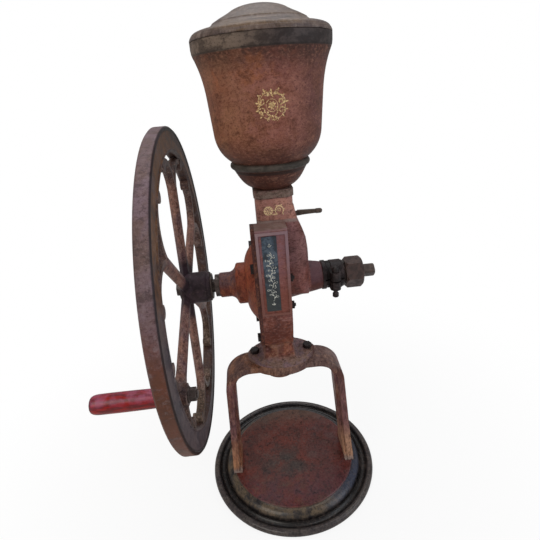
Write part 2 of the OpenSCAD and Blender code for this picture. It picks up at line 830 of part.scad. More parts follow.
module lid() {
    lip_r_out = rim_r - hopper_wall - 1 - lid_gap;
    step = lid_h / 37;
    outer = concat(
        [[rim_r, rim_z], [rim_r, rim_z + 1.5 * step], [rim_r - 1, rim_z + 4 * step]],
        curve([rim_r - 1.8, rim_z + 5 * step], [rim_r - 4, rim_z + 9.5 * step], [rim_r - 12,
            rim_z + 10.5 * step], 6),
        [[rim_r - 18, rim_z + 12 * step]],
        curve([rim_r - 20, rim_z + 12.5 * step], [rim_r - 27, rim_z + 15 * step], [rim_r - 29,
            rim_z + 18.2 * step], 6),
        [[rim_r - 36, rim_z + 22 * step]],
        curve([rim_r - 38, rim_z + 23 * step], [rim_r - 46, rim_z + 26.5 * step], [rim_r - 52,
            rim_z + 30 * step], 6),
        curve([rim_r - 53, rim_z + 30.6 * step], [rim_r - 64, rim_z + 36 * step], [0, rim_z + lid_h], 10)
    );
    color([0.3, 0.24, 0.2])
    translate([neck_x, 0, 0]) rotate_extrude() polygon(concat(
        outer,
        [[0, rim_z + lid_h - 3.5]],
        curve([0, rim_z + lid_h - 3.5], [rim_r - 58, rim_z + 29 * step], [rim_r - 38, rim_z + 20 * step], 8),
        [[rim_r - 20, rim_z + 8 * step], [lip_r_out - 3, rim_z + 1.5], [lip_r_out - 3, rim_z - lid_lip]],
        [[lip_r_out, rim_z - lid_lip], [lip_r_out, rim_z]]
    ));
}

module gate_plate() {
    end_x = neck_x + neck_w / 2 + 6;
    color([0.35, 0.3, 0.26])
    translate([0, 0, gate_z - gate_t / 2])
        linear_extrude(gate_t) {
            translate([neck_x, 0]) circle(r = neck_bore + 0.8);
            translate([neck_x, -neck_bore - 0.8]) square([end_x - neck_x - 8, 2 * neck_bore + 1.6]);
            translate([neck_x, -6]) square([end_x - neck_x, 12]);
        }
}

module gate_handle() {
    root_x = neck_x + neck_w / 2 + 6;
    tip_l = 9;
    tip_x = root_x + gate_rod_l;
    color([0.35, 0.3, 0.26])
    translate([0, 0, gate_z]) {
        front_plate(5)
            polygon([
                [root_x, gate_t / 2], [root_x + 2, 3.5], [tip_x - tip_l, 2.5],
                [tip_x - tip_l, -2.5], [root_x + 12, -3], [root_x, -4]
            ]);
        turned_x() polygon([
            [0, tip_x - tip_l - eps], [3.6, tip_x - tip_l - eps], [3.6, tip_x - 2.5],
            [2.6, tip_x - 0.7], [1.2, tip_x], [0, tip_x]
        ]);
    }
}

// ---- grinding gear ----

// V grooves over the face of a burr; dir is +1 where the cut goes towards +X
module burr_grooves(face_x, r_in, dir) {
    half = 2.4;
    for (i = [0:groove_n - 1])
        rotate([360 * i / groove_n, 0, 0])
            translate([face_x, -7, r_in - 8])
                linear_extrude(fixed_burr_r)
                    polygon([[-dir * cut, -half - 0.8], [-dir * cut, half + 0.8], [dir * groove_d, 0]]);
}

module fixed_burr() {
    face_r = turning_burr_r;
    color([0.45, 0.44, 0.43])
    translate([0, 0, shaft_z])
    difference() {
        turned_x() polygon([
            [burr_eye, fixed_x1], [fixed_burr_r, fixed_x1], [fixed_burr_r, fixed_x0 + 4],
            [face_r + 0.5, fixed_x0 + 4], [face_r - 1, fixed_x0], [burr_eye + 7, fixed_x0], [burr_eye,
                fixed_x0 + 5]
        ]);
        burr_grooves(fixed_x0, burr_eye, 1);
        translate([0, 0, -shaft_z]) at_burr_bolts() rod_x(burr_bolt_r + bolt_gap, fixed_x0 - cut,
            fixed_x1 + cut);
    }
}

module fixed_burr_bolts() {
    color([0.15, 0.13, 0.13])
    at_burr_bolts() {
        rod_x(burr_bolt_head_r, fixed_x0 + 1.5, fixed_x0 + 4);
        rod_x(burr_bolt_r, fixed_x0 + 4 - eps, slab_x1 + 7);
    }
}

module fixed_burr_nuts() {
    color([0.15, 0.13, 0.13])
    at_burr_bolts()
        difference() {
            hex_x(10, slab_x1, slab_x1 + 5, 30);
            rod_x(burr_bolt_r, slab_x1 - cut, slab_x1 + 6);
        }
}

module at_burr_screws() {
    for (i = [0:2]) rotate([120 * i, 0, 0]) translate([0, 0, burr_screw_at]) children();
}

module rotating_burr() {
    color([0.5, 0.49, 0.48])
    translate([0, 0, shaft_z])
    difference() {
        turned_x() polygon([
            [worm_r + 1, turn_x0], [turning_burr_r, turn_x0], [turning_burr_r, turn_x1],
            [burr_eye + 7, turn_x1], [burr_eye, turn_x1 - 4], [worm_r + 1, turn_x1 - 4]
        ]);
        burr_grooves(turn_x1, burr_eye, -1);
        at_burr_screws() rod_x(burr_screw_r + bolt_gap, turn_x0 - cut, turn_x1 - 4.6);
    }
}

module burr_carrier() {
    color([0.3, 0.28, 0.27])
    translate([0, 0, shaft_z])
    difference() {
        union() {
            rod_x(turning_burr_r - 2, carrier_x0, turn_x0);
            rod_x(shaft_r + 7, carrier_x0 - 9, carrier_x0 + eps);
            rod_x(worm_r, turn_x0 - eps, worm_x0);
        }
        rod_x(shaft_r + 0.02, carrier_x0 - 10, worm_x0 + cut);
        at_burr_screws() rod_x(burr_screw_r + bolt_gap, carrier_x0 - cut, turn_x0 + cut);
    }
}

module burr_screws() {
    color([0.15, 0.13, 0.13])
    translate([0, 0, shaft_z])
        at_burr_screws() {
            rod_x(burr_screw_r, carrier_x0 - eps, turn_x1 - 5);
            rod_x(1.8 * burr_screw_r, carrier_x0 - 3, carrier_x0);
        }
}

module feed_screw() {
    pitch = 17;
    length = worm_x1 - worm_x0;
    color([0.4, 0.38, 0.36])
    translate([worm_x0, 0, shaft_z])
        rotate([0, 90, 0])
            difference() {
                linear_extrude(length, twist = 360 * length / pitch, slices = 30, $fn = 28) {
                    circle(r = shaft_r + 3);
                    translate([worm_r - 13, 0]) circle(r = 13);
                }
                translate([0, 0, -cut]) cylinder(r = shaft_r + 0.02, h = length + 2 * cut);
                translate([0, 0, length - 4]) rotate([90, 0, 0]) cylinder(r = 2, h = 3 * worm_r,
                    center = true);
            }
}

module feed_screw_pin() {
    color([0.5, 0.5, 0.5])
    translate([worm_x1 - 4, 0, shaft_z]) cylinder_pin(2 - 0.1, shaft_r + 2.5);
}

// A cross pin through the shaft, lying along Y
module cylinder_pin(r, half) {
    rotate([90, 0, 0]) cylinder(r = r, h = 2 * half, center = true);
}

// ---- shaft and bearings ----

// The four flats of a squared shaft end, as blocks to cut away
module flats(x0, x1, turn) {
    for (k = [0:3])
        rotate([turn + 90 * k, 0, 0])
            translate([x0, -shaft_r - cut, square_af / 2]) cube([x1 - x0, 2 * (shaft_r + cut), shaft_r]);
}

module main_shaft() {
    color([0.3, 0.27, 0.26])
    translate([0, 0, shaft_z])
    difference() {
        turned_x() polygon([
            [0, shaft_x0], [thread_r - 1, shaft_x0], [thread_r, shaft_x0 + 1], [thread_r, hub_x0 - 1],
            [shaft_r, hub_x0 - 1], [shaft_r, shaft_x1 - 1], [shaft_r - 1, shaft_x1], [0, shaft_x1]
        ]);
        flats(hub_x0 - 1 - cut, left_square_x1, crank_angle);
        flats(right_square_x0 - 4, shaft_x1 + cut, square_turn);
        translate([worm_x1 - 4, 0, 0]) cylinder_pin(2, shaft_r + cut);
        translate([hex_x1 - 4.5, 0, 0]) cylinder_pin(1.6, shaft_r + cut);
    }
}

module left_bush() {
    color([0.5, 0.42, 0.28])
    translate([0, 0, shaft_z])
    difference() {
        union() {
            rod_x(bush_r - 0.02, nose_x0 - eps, ring_x1 - 5);
            rod_x(nose_r - 2, nose_x0 - bush_flange_t, nose_x0);
        }
        rod_x(shaft_r + run_gap, nose_x0 - bush_flange_t - cut, ring_x1);
    }
}

module thrust_washer() {
    color([0.55, 0.5, 0.4])
    translate([0, 0, shaft_z])
    difference() {
        rod_x(pocket_r - 0.3, hex_x1 - pocket_l + 0.02, hex_x1 - pocket_l + washer_t);
        rod_x(shaft_r + 0.3, hex_x1 - pocket_l - cut, hex_x1);
    }
}

module shaft_collar() {
    color([0.3, 0.3, 0.3])
    translate([0, 0, shaft_z])
    difference() {
        rod_x(pocket_r - 0.8, hex_x1 - pocket_l + washer_t + 0.04, hex_x1 - 0.5);
        rod_x(shaft_r + 0.02, hex_x1 - pocket_l, hex_x1 + cut);
        translate([hex_x1 - 4.5, 0, 0]) cylinder_pin(1.6, pocket_r + cut);
    }
}

module collar_pin() {
    color([0.55, 0.55, 0.55])
    translate([hex_x1 - 4.5, 0, shaft_z]) cylinder_pin(1.5, pocket_r - 1);
}

module adjusting_sleeve() {
    color([0.28, 0.2, 0.18])
    translate([0, 0, shaft_z])
    difference() {
        union() {
            rod_x(sleeve_r, sleeve_x0, hex_x0 + eps);
            rod_x(sleeve_af / 2, hex_x0 - 0.5, hex_x0 + eps);
            intersection() {
                hex_x(sleeve_af, hex_x0, hex_x1, hex_turn);
                turned_x() polygon([
                    [0, hex_x0], [sleeve_af / 2, hex_x0], [sleeve_af / 2 + 3.5, hex_x0 + 3],
                    [sleeve_af / 2 + 3.5, hex_x1 - 3], [sleeve_af / 2, hex_x1], [0, hex_x1]
                ]);
            }
        }
        rod_x(shaft_r + run_gap, sleeve_x0 - cut, hex_x1);
        rod_x(pocket_r, hex_x1 - pocket_l, hex_x1 + cut);
    }
}

module pinch_screw() {
    knob_h = 13;
    knob_r = 4.7;
    base = shaft_z - ear_h;
    color([0.12, 0.1, 0.1])
    translate([ear_x, ear_y, 0]) {
        translate([0, 0, base - knob_h])
            rotate_extrude() polygon([
                [0, 0], [knob_r - 1, 0], [knob_r, 1], [knob_r, 6], [knob_r - 1.5, 8],
                [knob_r - 1.5, knob_h - 2], [knob_r, knob_h - 2], [knob_r, knob_h - 0.05], [0, knob_h - 0.05]
            ]);
        translate([0, 0, base - 0.1]) cylinder(r = pinch_r, h = 2 * ear_h + 6);
    }
}

module pinch_nut() {
    nut_r = 5.4;
    color([0.12, 0.1, 0.1])
    translate([ear_x, ear_y, shaft_z + ear_h])
    difference() {
        rotate_extrude() polygon(concat(
            [[0, 0], [nut_r, 0], [nut_r, 4]],
            arc_points([0, 4], nut_r, 0, 90, 8)
        ));
        translate([0, 0, -cut]) cylinder(r = pinch_r + run_gap, h = 7.5);
    }
}

// ---- flywheel and crank ----

// Puts a piece drawn along +Z onto the spoke at angle a above the front
module at_angle(a) {
    rotate([90 - a, 0, 0]) children();
}

module fork_arm() {
    rotate([0, 90, 0])
        translate([-fork_r, 0, 0])
            rotate([0, 0, 180])
                translate([0, fork_bend, 0])
                    rotate([0, 0, -90])
                        rotate_extrude(angle = fork_sweep)
                            translate([fork_bend, 0])
                                polygon([
                                    [-arm_w / 2, 0], [-arm_w / 2 + 3, -spoke_t / 2 + 1], [arm_w / 2 - 3,
                                        -spoke_t / 2 + 1],
                                    [arm_w / 2, 0], [arm_w / 2 - 3, spoke_t / 2 - 1], [-arm_w / 2 + 3,
                                        spoke_t / 2 - 1]
                                ]);
}

module spoke() {
    intersection() {
        translate([-spoke_t / 2, 0, 0])
            rotate([90, 0, 90])
                linear_extrude(spoke_t)
                    polygon([
                        [-spoke_w0 / 2, hub_r - 4], [spoke_w0 / 2, hub_r - 4],
                        [spoke_w1 / 2, fork_r + 6], [0, fork_r + 14], [-spoke_w1 / 2, fork_r + 6]
                    ]);
        linear_extrude(fork_r + 20)
            polygon([
                [0, -spoke_w0 / 2], [spoke_t / 2 - 1, -spoke_w1 / 4], [spoke_t / 2, 0], [spoke_t / 2 - 1,
                    spoke_w1 / 4],
                [0, spoke_w0 / 2], [-spoke_t / 2 + 1, spoke_w1 / 4], [-spoke_t / 2, 0],
                    [-spoke_t / 2 + 1, -spoke_w1 / 4]
            ]);
    }
    for (m = [0, 1]) mirror([0, m, 0]) {
        fork_arm();
        rotate([-fork_spread, 0, 0]) translate([0, 0, fork_end - 3]) rod_x(knuckle_r, -spoke_t / 2,
            spoke_t / 2);
    }
}

module rim_ring() {
    half = rim_t / 2;
    turned_x() polygon([
        [rim_in, -half + 4], [rim_in + 3, -half], [wheel_r - 2, -half], [wheel_r, -half + 2],
        [wheel_r, half - 2], [wheel_r - 2, half], [wheel_r - 4, half], [wheel_r - 5, half - 1.2],
        [rim_in + 6, half - 1.2], [rim_in + 5, half], [rim_in + 3, half], [rim_in, half - 4]
    ]);
}

module flywheel_rim() {
    color([0.32, 0.27, 0.27])
    translate([wheel_x, 0, shaft_z]) rim_ring();
}

module flywheel_spokes() {
    color([0.36, 0.28, 0.27])
    translate([wheel_x, 0, shaft_z])
    difference() {
        union() {
            for (i = [0:spoke_n - 1]) at_angle(crank_angle + 360 * i / spoke_n) spoke();
            at_angle(crank_angle) translate([0, 0, crank_r]) rod_x(boss_r, boss_x0 - wheel_x,
                boss_x1 - wheel_x);
            turned_x() polygon([
                [0, hub_x0 - wheel_x], [hub_r - 3, hub_x0 - wheel_x], [hub_r - 1, hub_x0 - wheel_x + 2],
                [hub_r + 1, hub_web_x0], [hub_r + 1, hub_web_x1], [hub_r, hub_web_x1 + 2.4], [hub_r,
                    hub_x1 - wheel_x - 6],
                [hub_r - 1.5, hub_x1 - wheel_x - 5], [hub_r - 1.5, hub_x1 - wheel_x], [0, hub_x1 - wheel_x]
            ]);
        }
        rim_ring();
        side_plate(hub_x0 - wheel_x - cut, hub_x1 - wheel_x + cut) rotate(crank_angle) squared_hole();
        at_angle(crank_angle) translate([0, 0, crank_r]) rod_x(spindle_r + 0.02, -rim_t, rim_t);
    }
}

module squared_hole() {
    intersection() {
        circle(r = shaft_r + 0.03);
        square(square_af + 0.06, center = true);
    }
}

module hub_washer() {
    color([0.25, 0.25, 0.25])
    translate([0, 0, shaft_z])
    difference() {
        rod_x(hub_r - 4, hub_x1, hub_x1 + 2.5);
        rod_x(shaft_r + 0.02, hub_x1 - cut, hub_x1 + 4);
    }
}

module end_washer() {
    color([0.3, 0.28, 0.27])
    translate([0, 0, shaft_z])
    difference() {
        rod_x(hub_r - 7, hub_x0 - end_washer_t, hub_x0);
        rod_x(thread_r + bolt_gap, hub_x0 - 4, hub_x0 + cut);
        rod_x(shaft_r + bolt_gap, hub_x0 - 1.3, hub_x0 + cut);
    }
}

module hub_nut() {
    color([0.2, 0.18, 0.18])
    translate([0, 0, shaft_z])
    difference() {
        hex_x(hub_nut_af, hub_x0 - end_washer_t - hub_nut_h, hub_x0 - end_washer_t);
        rod_x(thread_r, shaft_x0 - cut, hub_x0);
    }
}

module crank_spindle() {
    color([0.3, 0.28, 0.27])
    translate([0, crank_y, crank_z]) {
        rod_x(spindle_r, grip_x0 + 1, boss_x1 + spindle_washer_t + spindle_nut_h + 2);
        rod_x(spindle_collar_r, boss_x0 - spindle_collar_t, boss_x0 - 0.02);
        rod_x(spindle_head_r, grip_x0 + 0.5, grip_x0 + 0.5 + spindle_head_t);
    }
}

module spindle_washer() {
    color([0.3, 0.28, 0.27])
    translate([0, crank_y, crank_z])
    difference() {
        rod_x(2 * spindle_r, boss_x1, boss_x1 + spindle_washer_t);
        rod_x(spindle_r + bolt_gap, boss_x1 - cut, boss_x1 + 3);
    }
}

module spindle_nut() {
    color([0.2, 0.18, 0.18])
    translate([0, crank_y, crank_z])
    difference() {
        translate([boss_x1 + spindle_washer_t, 0, 0]) hex_x(spindle_nut_af, 0, spindle_nut_h, 10);
        rod_x(spindle_r, boss_x1, boss_x1 + spindle_washer_t + spindle_nut_h + cut);
    }
}

module hand_grip() {
    color([0.7, 0.12, 0.1])
    translate([0, crank_y, crank_z])
    difference() {
        turned_x() polygon(concat(
            [[0, grip_x0]],
            curve([spindle_head_r + 1.3, grip_x0], [grip_r - 0.3, grip_x0 + 1], [grip_r, grip_x0 + 11], 8),
            curve([grip_r, grip_x0 + 12], [grip_r + 0.4, (grip_x0 + grip_x1) / 2], [grip_r - 0.6,
                grip_x1 - 12]),
            [[grip_r - 2.5, grip_x1], [0, grip_x1]]
        ));
        rod_x(spindle_r + run_gap, grip_x0 - cut, grip_x1 + cut);
        rod_x(spindle_head_r + 0.3, grip_x0 - cut, grip_x0 + spindle_recess);
    }
}

foot();
yoke();
yoke_screws();
mill_body();
saddle_bolts();
saddle_nuts();
chamber_cover();
cover_bolts();
label_plate();
hopper();
hopper_screw();
lid();
gate_plate();
gate_handle();
fixed_burr();
fixed_burr_bolts();
fixed_burr_nuts();
rotating_burr();
burr_carrier();
burr_screws();
feed_screw();
feed_screw_pin();
main_shaft();
left_bush();
thrust_washer();
shaft_collar();
collar_pin();
adjusting_sleeve();
pinch_screw();
pinch_nut();
flywheel_rim();
flywheel_spokes();
hub_washer();
end_washer();
hub_nut();
crank_spindle();
spindle_washer();
spindle_nut();
hand_grip();
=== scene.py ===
import math
import random

import bpy
from mathutils import Matrix, Vector
from mathutils.bvhtree import BVHTree

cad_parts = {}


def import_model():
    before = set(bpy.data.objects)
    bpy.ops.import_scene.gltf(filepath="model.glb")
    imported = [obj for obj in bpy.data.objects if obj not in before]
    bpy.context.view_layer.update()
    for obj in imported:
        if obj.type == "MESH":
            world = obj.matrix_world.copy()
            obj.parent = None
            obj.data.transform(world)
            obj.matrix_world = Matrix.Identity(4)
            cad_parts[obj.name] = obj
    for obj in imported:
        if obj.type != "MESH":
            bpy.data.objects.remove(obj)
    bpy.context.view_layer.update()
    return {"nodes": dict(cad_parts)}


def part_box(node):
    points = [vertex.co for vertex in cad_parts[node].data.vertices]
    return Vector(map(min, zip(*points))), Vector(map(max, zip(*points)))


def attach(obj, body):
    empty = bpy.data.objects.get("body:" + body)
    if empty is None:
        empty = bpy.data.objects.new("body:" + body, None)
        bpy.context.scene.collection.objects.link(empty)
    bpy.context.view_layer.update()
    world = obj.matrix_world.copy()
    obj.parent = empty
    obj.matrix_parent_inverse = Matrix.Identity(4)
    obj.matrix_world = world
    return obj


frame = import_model()
nodes = frame["nodes"]

# The looks of the hand crank coffee grinder. Every CAD node keeps its shape and gets its own paint or metal,
# and three flat gilt ornaments are laid on the nodes. Places are in metres, and colours are 0 to 255.


# ---------------------------------------------------------------- places that the paint follows

def middle(node):
    """The middle of a CAD node's box."""
    low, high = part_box(node)
    return (low + high) / 2


FOOT_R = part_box("foot")[1].x
FOOT_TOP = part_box("foot")[1].z
SHAFT_Z = middle("main_shaft").z

BODY_LOW, BODY_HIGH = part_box("mill_body")
SADDLE_Z = BODY_LOW.z
BODY_FRONT = BODY_LOW.y
CLAMP_X = BODY_HIGH.x - 0.033                     # where the tube ends and the split clamp starts
NECK_TOP = BODY_HIGH.z

COVER_LOW, COVER_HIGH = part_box("chamber_cover")
CASING_TOP = COVER_HIGH.z
NOSE_X = COVER_LOW.x + 0.025                      # where the cover's long nose starts
COVER_EDGE = COVER_HIGH.x - 0.0055                # the outer side of the cover's flange

HOPPER_MIDDLE = middle("hopper")
HOPPER_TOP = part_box("hopper")[1].z
BAND_Z = HOPPER_TOP - 0.0155                      # the lower edge of the rim band
BEAD_Z = NECK_TOP + 0.033                         # the middle of the lower bead

WHEEL_LOW, WHEEL_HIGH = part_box("flywheel_rim")
WHEEL_R = SHAFT_Z - WHEEL_LOW.z
WHEEL_FACE = WHEEL_HIGH.x                         # the side that the camera sees
GRIP_LOW, GRIP_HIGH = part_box("hand_grip")
GRIP_Z = middle("crank_spindle").z                # the grip turns on the spindle


# ---------------------------------------------------------------- colours and node trees

def srgb(colour):
    """A colour of three 0 to 255 values as linear RGBA; a node's socket stays as it is."""
    if not isinstance(colour, tuple):
        return colour
    shares = [v / 255 for v in colour]
    return (*(v / 12.92 if v <= 0.04045 else ((v + 0.055) / 1.055) ** 2.4 for v in shares), 1.0)


def toned(colour, share):
    """The colour darker, or lighter with a share over 1."""
    return tuple(min(255, v * share) for v in colour)


def halfway(first, second):
    """The colour midway between two."""
    return tuple((a + b) / 2 for a, b in zip(first, second))


class Nodes:
    """A node tree made from nothing, for a material or the world."""

    def __init__(self, owner):
        owner.use_nodes = True
        self.owner = owner
        self.tree = owner.node_tree
        self.tree.nodes.clear()

    def put(self, socket, value):
        """Links the socket to another socket, or gives it a plain value."""
        if isinstance(value, bpy.types.NodeSocket):
            self.tree.links.new(value, socket)
        else:
            socket.default_value = value

    def node(self, kind, inputs=None, **settings):
        """A new node, with its inputs by name or number and its own settings."""
        made = self.tree.nodes.new("ShaderNode" + kind)
        for name, value in settings.items():
            setattr(made, name, value)
        for key, value in (inputs or {}).items():
            self.put(made.inputs[key], value)
        return made

    def math(self, operation, a, b=0.0, c=0.0):
        return self.node("Math", {0: a, 1: b, 2: c}, operation=operation).outputs[0]

    def add(self, a, b):
        return self.math("ADD", a, b)

    def sub(self, a, b):
        return self.math("SUBTRACT", a, b)

    def mul(self, a, b):
        return self.math("MULTIPLY", a, b)

    def most(self, a, b):
        return self.math("MAXIMUM", a, b)

    def radius(self, a, b):
        return self.math("SQRT", self.add(self.mul(a, a), self.mul(b, b)))

    def between(self, v, low, high):
        """low where v is 0, high where v is 1."""
        return self.math("MULTIPLY_ADD", v, high - low, low)

    def step(self, v, start, end):
        """0 at start, 1 at end, smooth between; the end may be under the start."""
        rising = start <= end
        sides = {"From Min": min(start, end), "From Max": max(start, end),
                 "To Min": 0.0 if rising else 1.0, "To Max": 1.0 if rising else 0.0}
        return self.node("MapRange", {"Value": v, **sides}, interpolation_type="SMOOTHSTEP").outputs["Result"]

    def window(self, v, low, high, soft):
        """1 between low and high, 0 outside, each side as wide as twice soft."""
        return self.mul(self.step(v, low - soft, low + soft), self.step(v, high + soft, high - soft))


class Paint(Nodes):
    """The node tree of one material. x, y and z are the place on the node, in metres."""

    def __init__(self, name):
        super().__init__(bpy.data.materials.new(name))
        self.place = self.node("TexCoord").outputs["Object"]
        self.x, self.y, self.z = self.node("SeparateXYZ", {0: self.place}).outputs

    def scaled(self, x, y, z):
        """The place stretched along each axis; under 1 makes a noise longer there."""
        inputs = {"Vector": self.place, "Scale": (x, y, z)}
        return self.node("Mapping", inputs, vector_type="POINT").outputs[0]

    def noise(self, scale, detail, rough, twist=0.0, place=None, seed=0.0):
        """Noise of about 0.3 to 0.7 round 0.5, with scale blots to a metre."""
        place = self.place if place is None else place
        inputs = {"Vector": place, "W": seed, "Scale": scale,
                  "Detail": detail, "Roughness": rough, "Distortion": twist}
        return self.node("TexNoise", inputs, noise_dimensions="4D").outputs["Fac"]

    def mix(self, share, first, second):
        inputs = {0: share, 6: srgb(first), 7: srgb(second)}
        return self.node("Mix", inputs, data_type="RGBA", blend_type="MIX").outputs[2]

    def mottle(self, noise, first, second, start=0.42, end=0.58):
        """The first colour up to start in the noise, the second from end on."""
        return self.mix(self.step(noise, start, end), first, second)

    def lay(self, under, over, mask, amount=1.0):
        """A colour laid over another where the mask is, as strongly as the amount says."""
        if amount != 1:
            mask = self.mul(mask, amount)
        return self.mix(mask, under, over)

    def edges(self, width):
        """Near 1 on edges, up to that width from them, and the normal that rounds them."""
        rounded = self.node("Bevel", {"Radius": width}, samples=6).outputs[0]
        flat = self.node("NewGeometry").outputs["Normal"]
        alike = self.node("VectorMath", {0: rounded, 1: flat}, operation="DOT_PRODUCT").outputs["Value"]
        return self.step(alike, 0.985, 0.80), rounded

    def finish(self, colour, rough, height, strength, depth, normal=None, metal=0.0, coat=0.0,
               coat_rough=0.2, specular=0.5):
        """Closes the tree with one surface, whose bump follows the height, and gives back the material."""
        bump = {"Strength": strength, "Distance": depth, "Height": height}
        if normal is not None:
            bump["Normal"] = normal
        surface = self.node("BsdfPrincipled", {
            "Base Color": colour, "Roughness": rough, "Metallic": metal, "Specular IOR Level": specular,
            "Coat Weight": coat, "Coat Roughness": coat_rough, "Normal": self.node("Bump", bump).outputs[0]})
        self.node("OutputMaterial", {0: surface.outputs[0]})
        return self.owner


def dress(material, *names):
    """Gives the material to the CAD nodes."""
    for name in names:
        slots = nodes[name].data.materials
        slots.clear()
        slots.append(material)


# ---------------------------------------------------------------- old paint on the castings

def aged(name, base, other, dark, light, streak=(1, 1, 1), size=1.0, speck=0.5, grime=0.5, wear=0.5,
         rough=(0.38, 0.62), bump=0.35, edge=0.0012, zones=None, late=None, coat=0.0, specular=0.18,
         seed=0.0):
    """Old paint on cast iron: blots, drips, specks, grime, soot, chips, pale scuffs, worn edges, and painted
    shade on edges and creases.

    base and other are its two tones, dark the grime and the painted edge shade, and light the wear. streak
    stretches the finer noises, and size scales the larger ones. speck, grime and wear are how strong those
    layers are, and edge is how wide the worn and shaded edges are. zones paints places of the node under the
    layers, and late paints over them; both find the two finer noises in t.mid and t.fine.
    """
    t = Paint(name)
    run = t.scaled(*streak)
    blots = t.noise(16 / size, 5, 0.65, 0.5, seed=seed)
    t.mid = t.noise(62 / size, 6, 0.7, 0.3, run, seed + 3)
    t.fine = t.noise(250, 4, 0.75, 0.0, run, seed + 5)
    grit = t.noise(1500, 2, 0.6, seed=seed + 6)
    colour = t.mottle(blots, base, other, 0.40, 0.60)
    if zones:
        colour = zones(t, colour)

    drips = t.noise(34, 5, 0.75, 0.6, t.scaled(1.6, 1.6, 0.35), seed + 11)
    colour = t.lay(colour, halfway(base, dark), t.step(drips, 0.47, 0.36), 0.55)
    colour = t.lay(colour, light, t.step(t.mid, 0.53, 0.64), 0.5 * wear + 0.1)
    colour = t.lay(colour, dark, t.step(t.mid, 0.47, 0.36), grime)
    colour = t.lay(colour, light, t.step(t.fine, 0.53, 0.61), speck * 0.7)
    colour = t.lay(colour, dark, t.step(t.fine, 0.47, 0.39), speck * 1.2)
    soot = t.noise(620, 3, 0.8, 0.0, run, seed + 10)
    colour = t.lay(colour, toned(dark, 0.8), t.step(soot, 0.48, 0.38), speck)
    chip = t.step(t.noise(150, 4, 0.75, 0.6, seed=seed + 7), 0.64, 0.69)
    colour = t.lay(colour, toned(dark, 0.62), chip, 0.6)
    rubbed = t.step(t.noise(95, 5, 0.8, 1.2, run, seed + 8), 0.63, 0.70)
    colour = t.lay(colour, toned(light, 1.12), t.mul(rubbed, t.step(grit, 0.45, 0.6)), 0.7 * wear)

    on_edge, normal = t.edges(edge)
    patch = t.noise(90, 3, 0.6, seed=seed + 9)
    # Painted shade: dark lines along edges and creases, where shadow would gather.
    colour = t.lay(colour, toned(dark, 0.6), t.mul(on_edge, t.step(patch, 0.52, 0.42)), 0.85)
    colour = t.lay(colour, light, t.mul(on_edge, t.step(patch, 0.48, 0.60)), wear)
    if late:
        colour = late(t, colour)

    roughness = t.between(t.step(t.add(t.mul(t.mid, 0.6), t.mul(t.fine, 0.4)), 0.3, 0.7), *rough)
    grain = t.add(t.mul(t.mid, 0.5), t.add(t.mul(t.fine, 0.45), t.mul(grit, 0.18)))
    return t.finish(colour, roughness, t.sub(grain, t.mul(chip, 0.25)), bump, 0.0007, normal,
                    coat=coat, coat_rough=0.18, specular=specular)


def hopper_zones(t, colour):
    """Tan on the left as painted light, darker on the right as painted shade, a painted warm light on the
    upper left, darker in blotches just under the band and dark in the funnel.
    """
    blots = t.noise(24, 5, 0.65, 0.6, seed=41.0)
    # Painted light: the left side is tan, as if lit by the warm lamp.
    left = t.step(t.x, 0.010, -0.055)
    colour = t.lay(colour, t.mottle(blots, (152, 106, 78), (134, 88, 66)), left, 0.75)
    # Painted shade: the right side is darker, as if turned from the light.
    right = t.step(t.x, 0.015, 0.060)
    colour = t.lay(colour, t.mottle(blots, (108, 72, 70), (98, 64, 56)), right, 0.75)
    # Painted warm light in blotches on the upper left.
    upper = t.step(t.z, BAND_Z - 0.059, BAND_Z - 0.014)
    warm = t.mul(upper, t.mul(t.step(blots, 0.50, 0.62), t.step(t.x, 0.045, 0.000)))
    colour = t.lay(colour, (164, 100, 64), warm, 0.6)
    rose = t.mul(t.window(t.x, -0.030, 0.035, 0.015), t.step(t.mid, 0.44, 0.56))
    colour = t.lay(colour, (146, 96, 88), rose, 0.6)
    low = t.step(t.z, BEAD_Z + 0.044, BEAD_Z + 0.006)
    colour = t.lay(colour, t.mottle(blots, (60, 34, 28), (84, 48, 38), 0.45, 0.6), low, 0.8)
    funnel = t.step(t.z, BEAD_Z - 0.0045, BEAD_Z - 0.0070)
    colour = t.lay(colour, t.mottle(t.mid, (88, 52, 42), (62, 36, 30), 0.4, 0.6), funnel)
    # Darker in blotches just under the band.
    soot = t.mul(t.step(t.z, BAND_Z - 0.027, BAND_Z), t.step(t.mid, 0.30, 0.56))
    colour = t.lay(colour, (54, 38, 32), soot, 0.9)
    band = t.step(t.z, BAND_Z - 0.0005, BAND_Z + 0.0020)
    return t.lay(colour, (70, 60, 56), band)


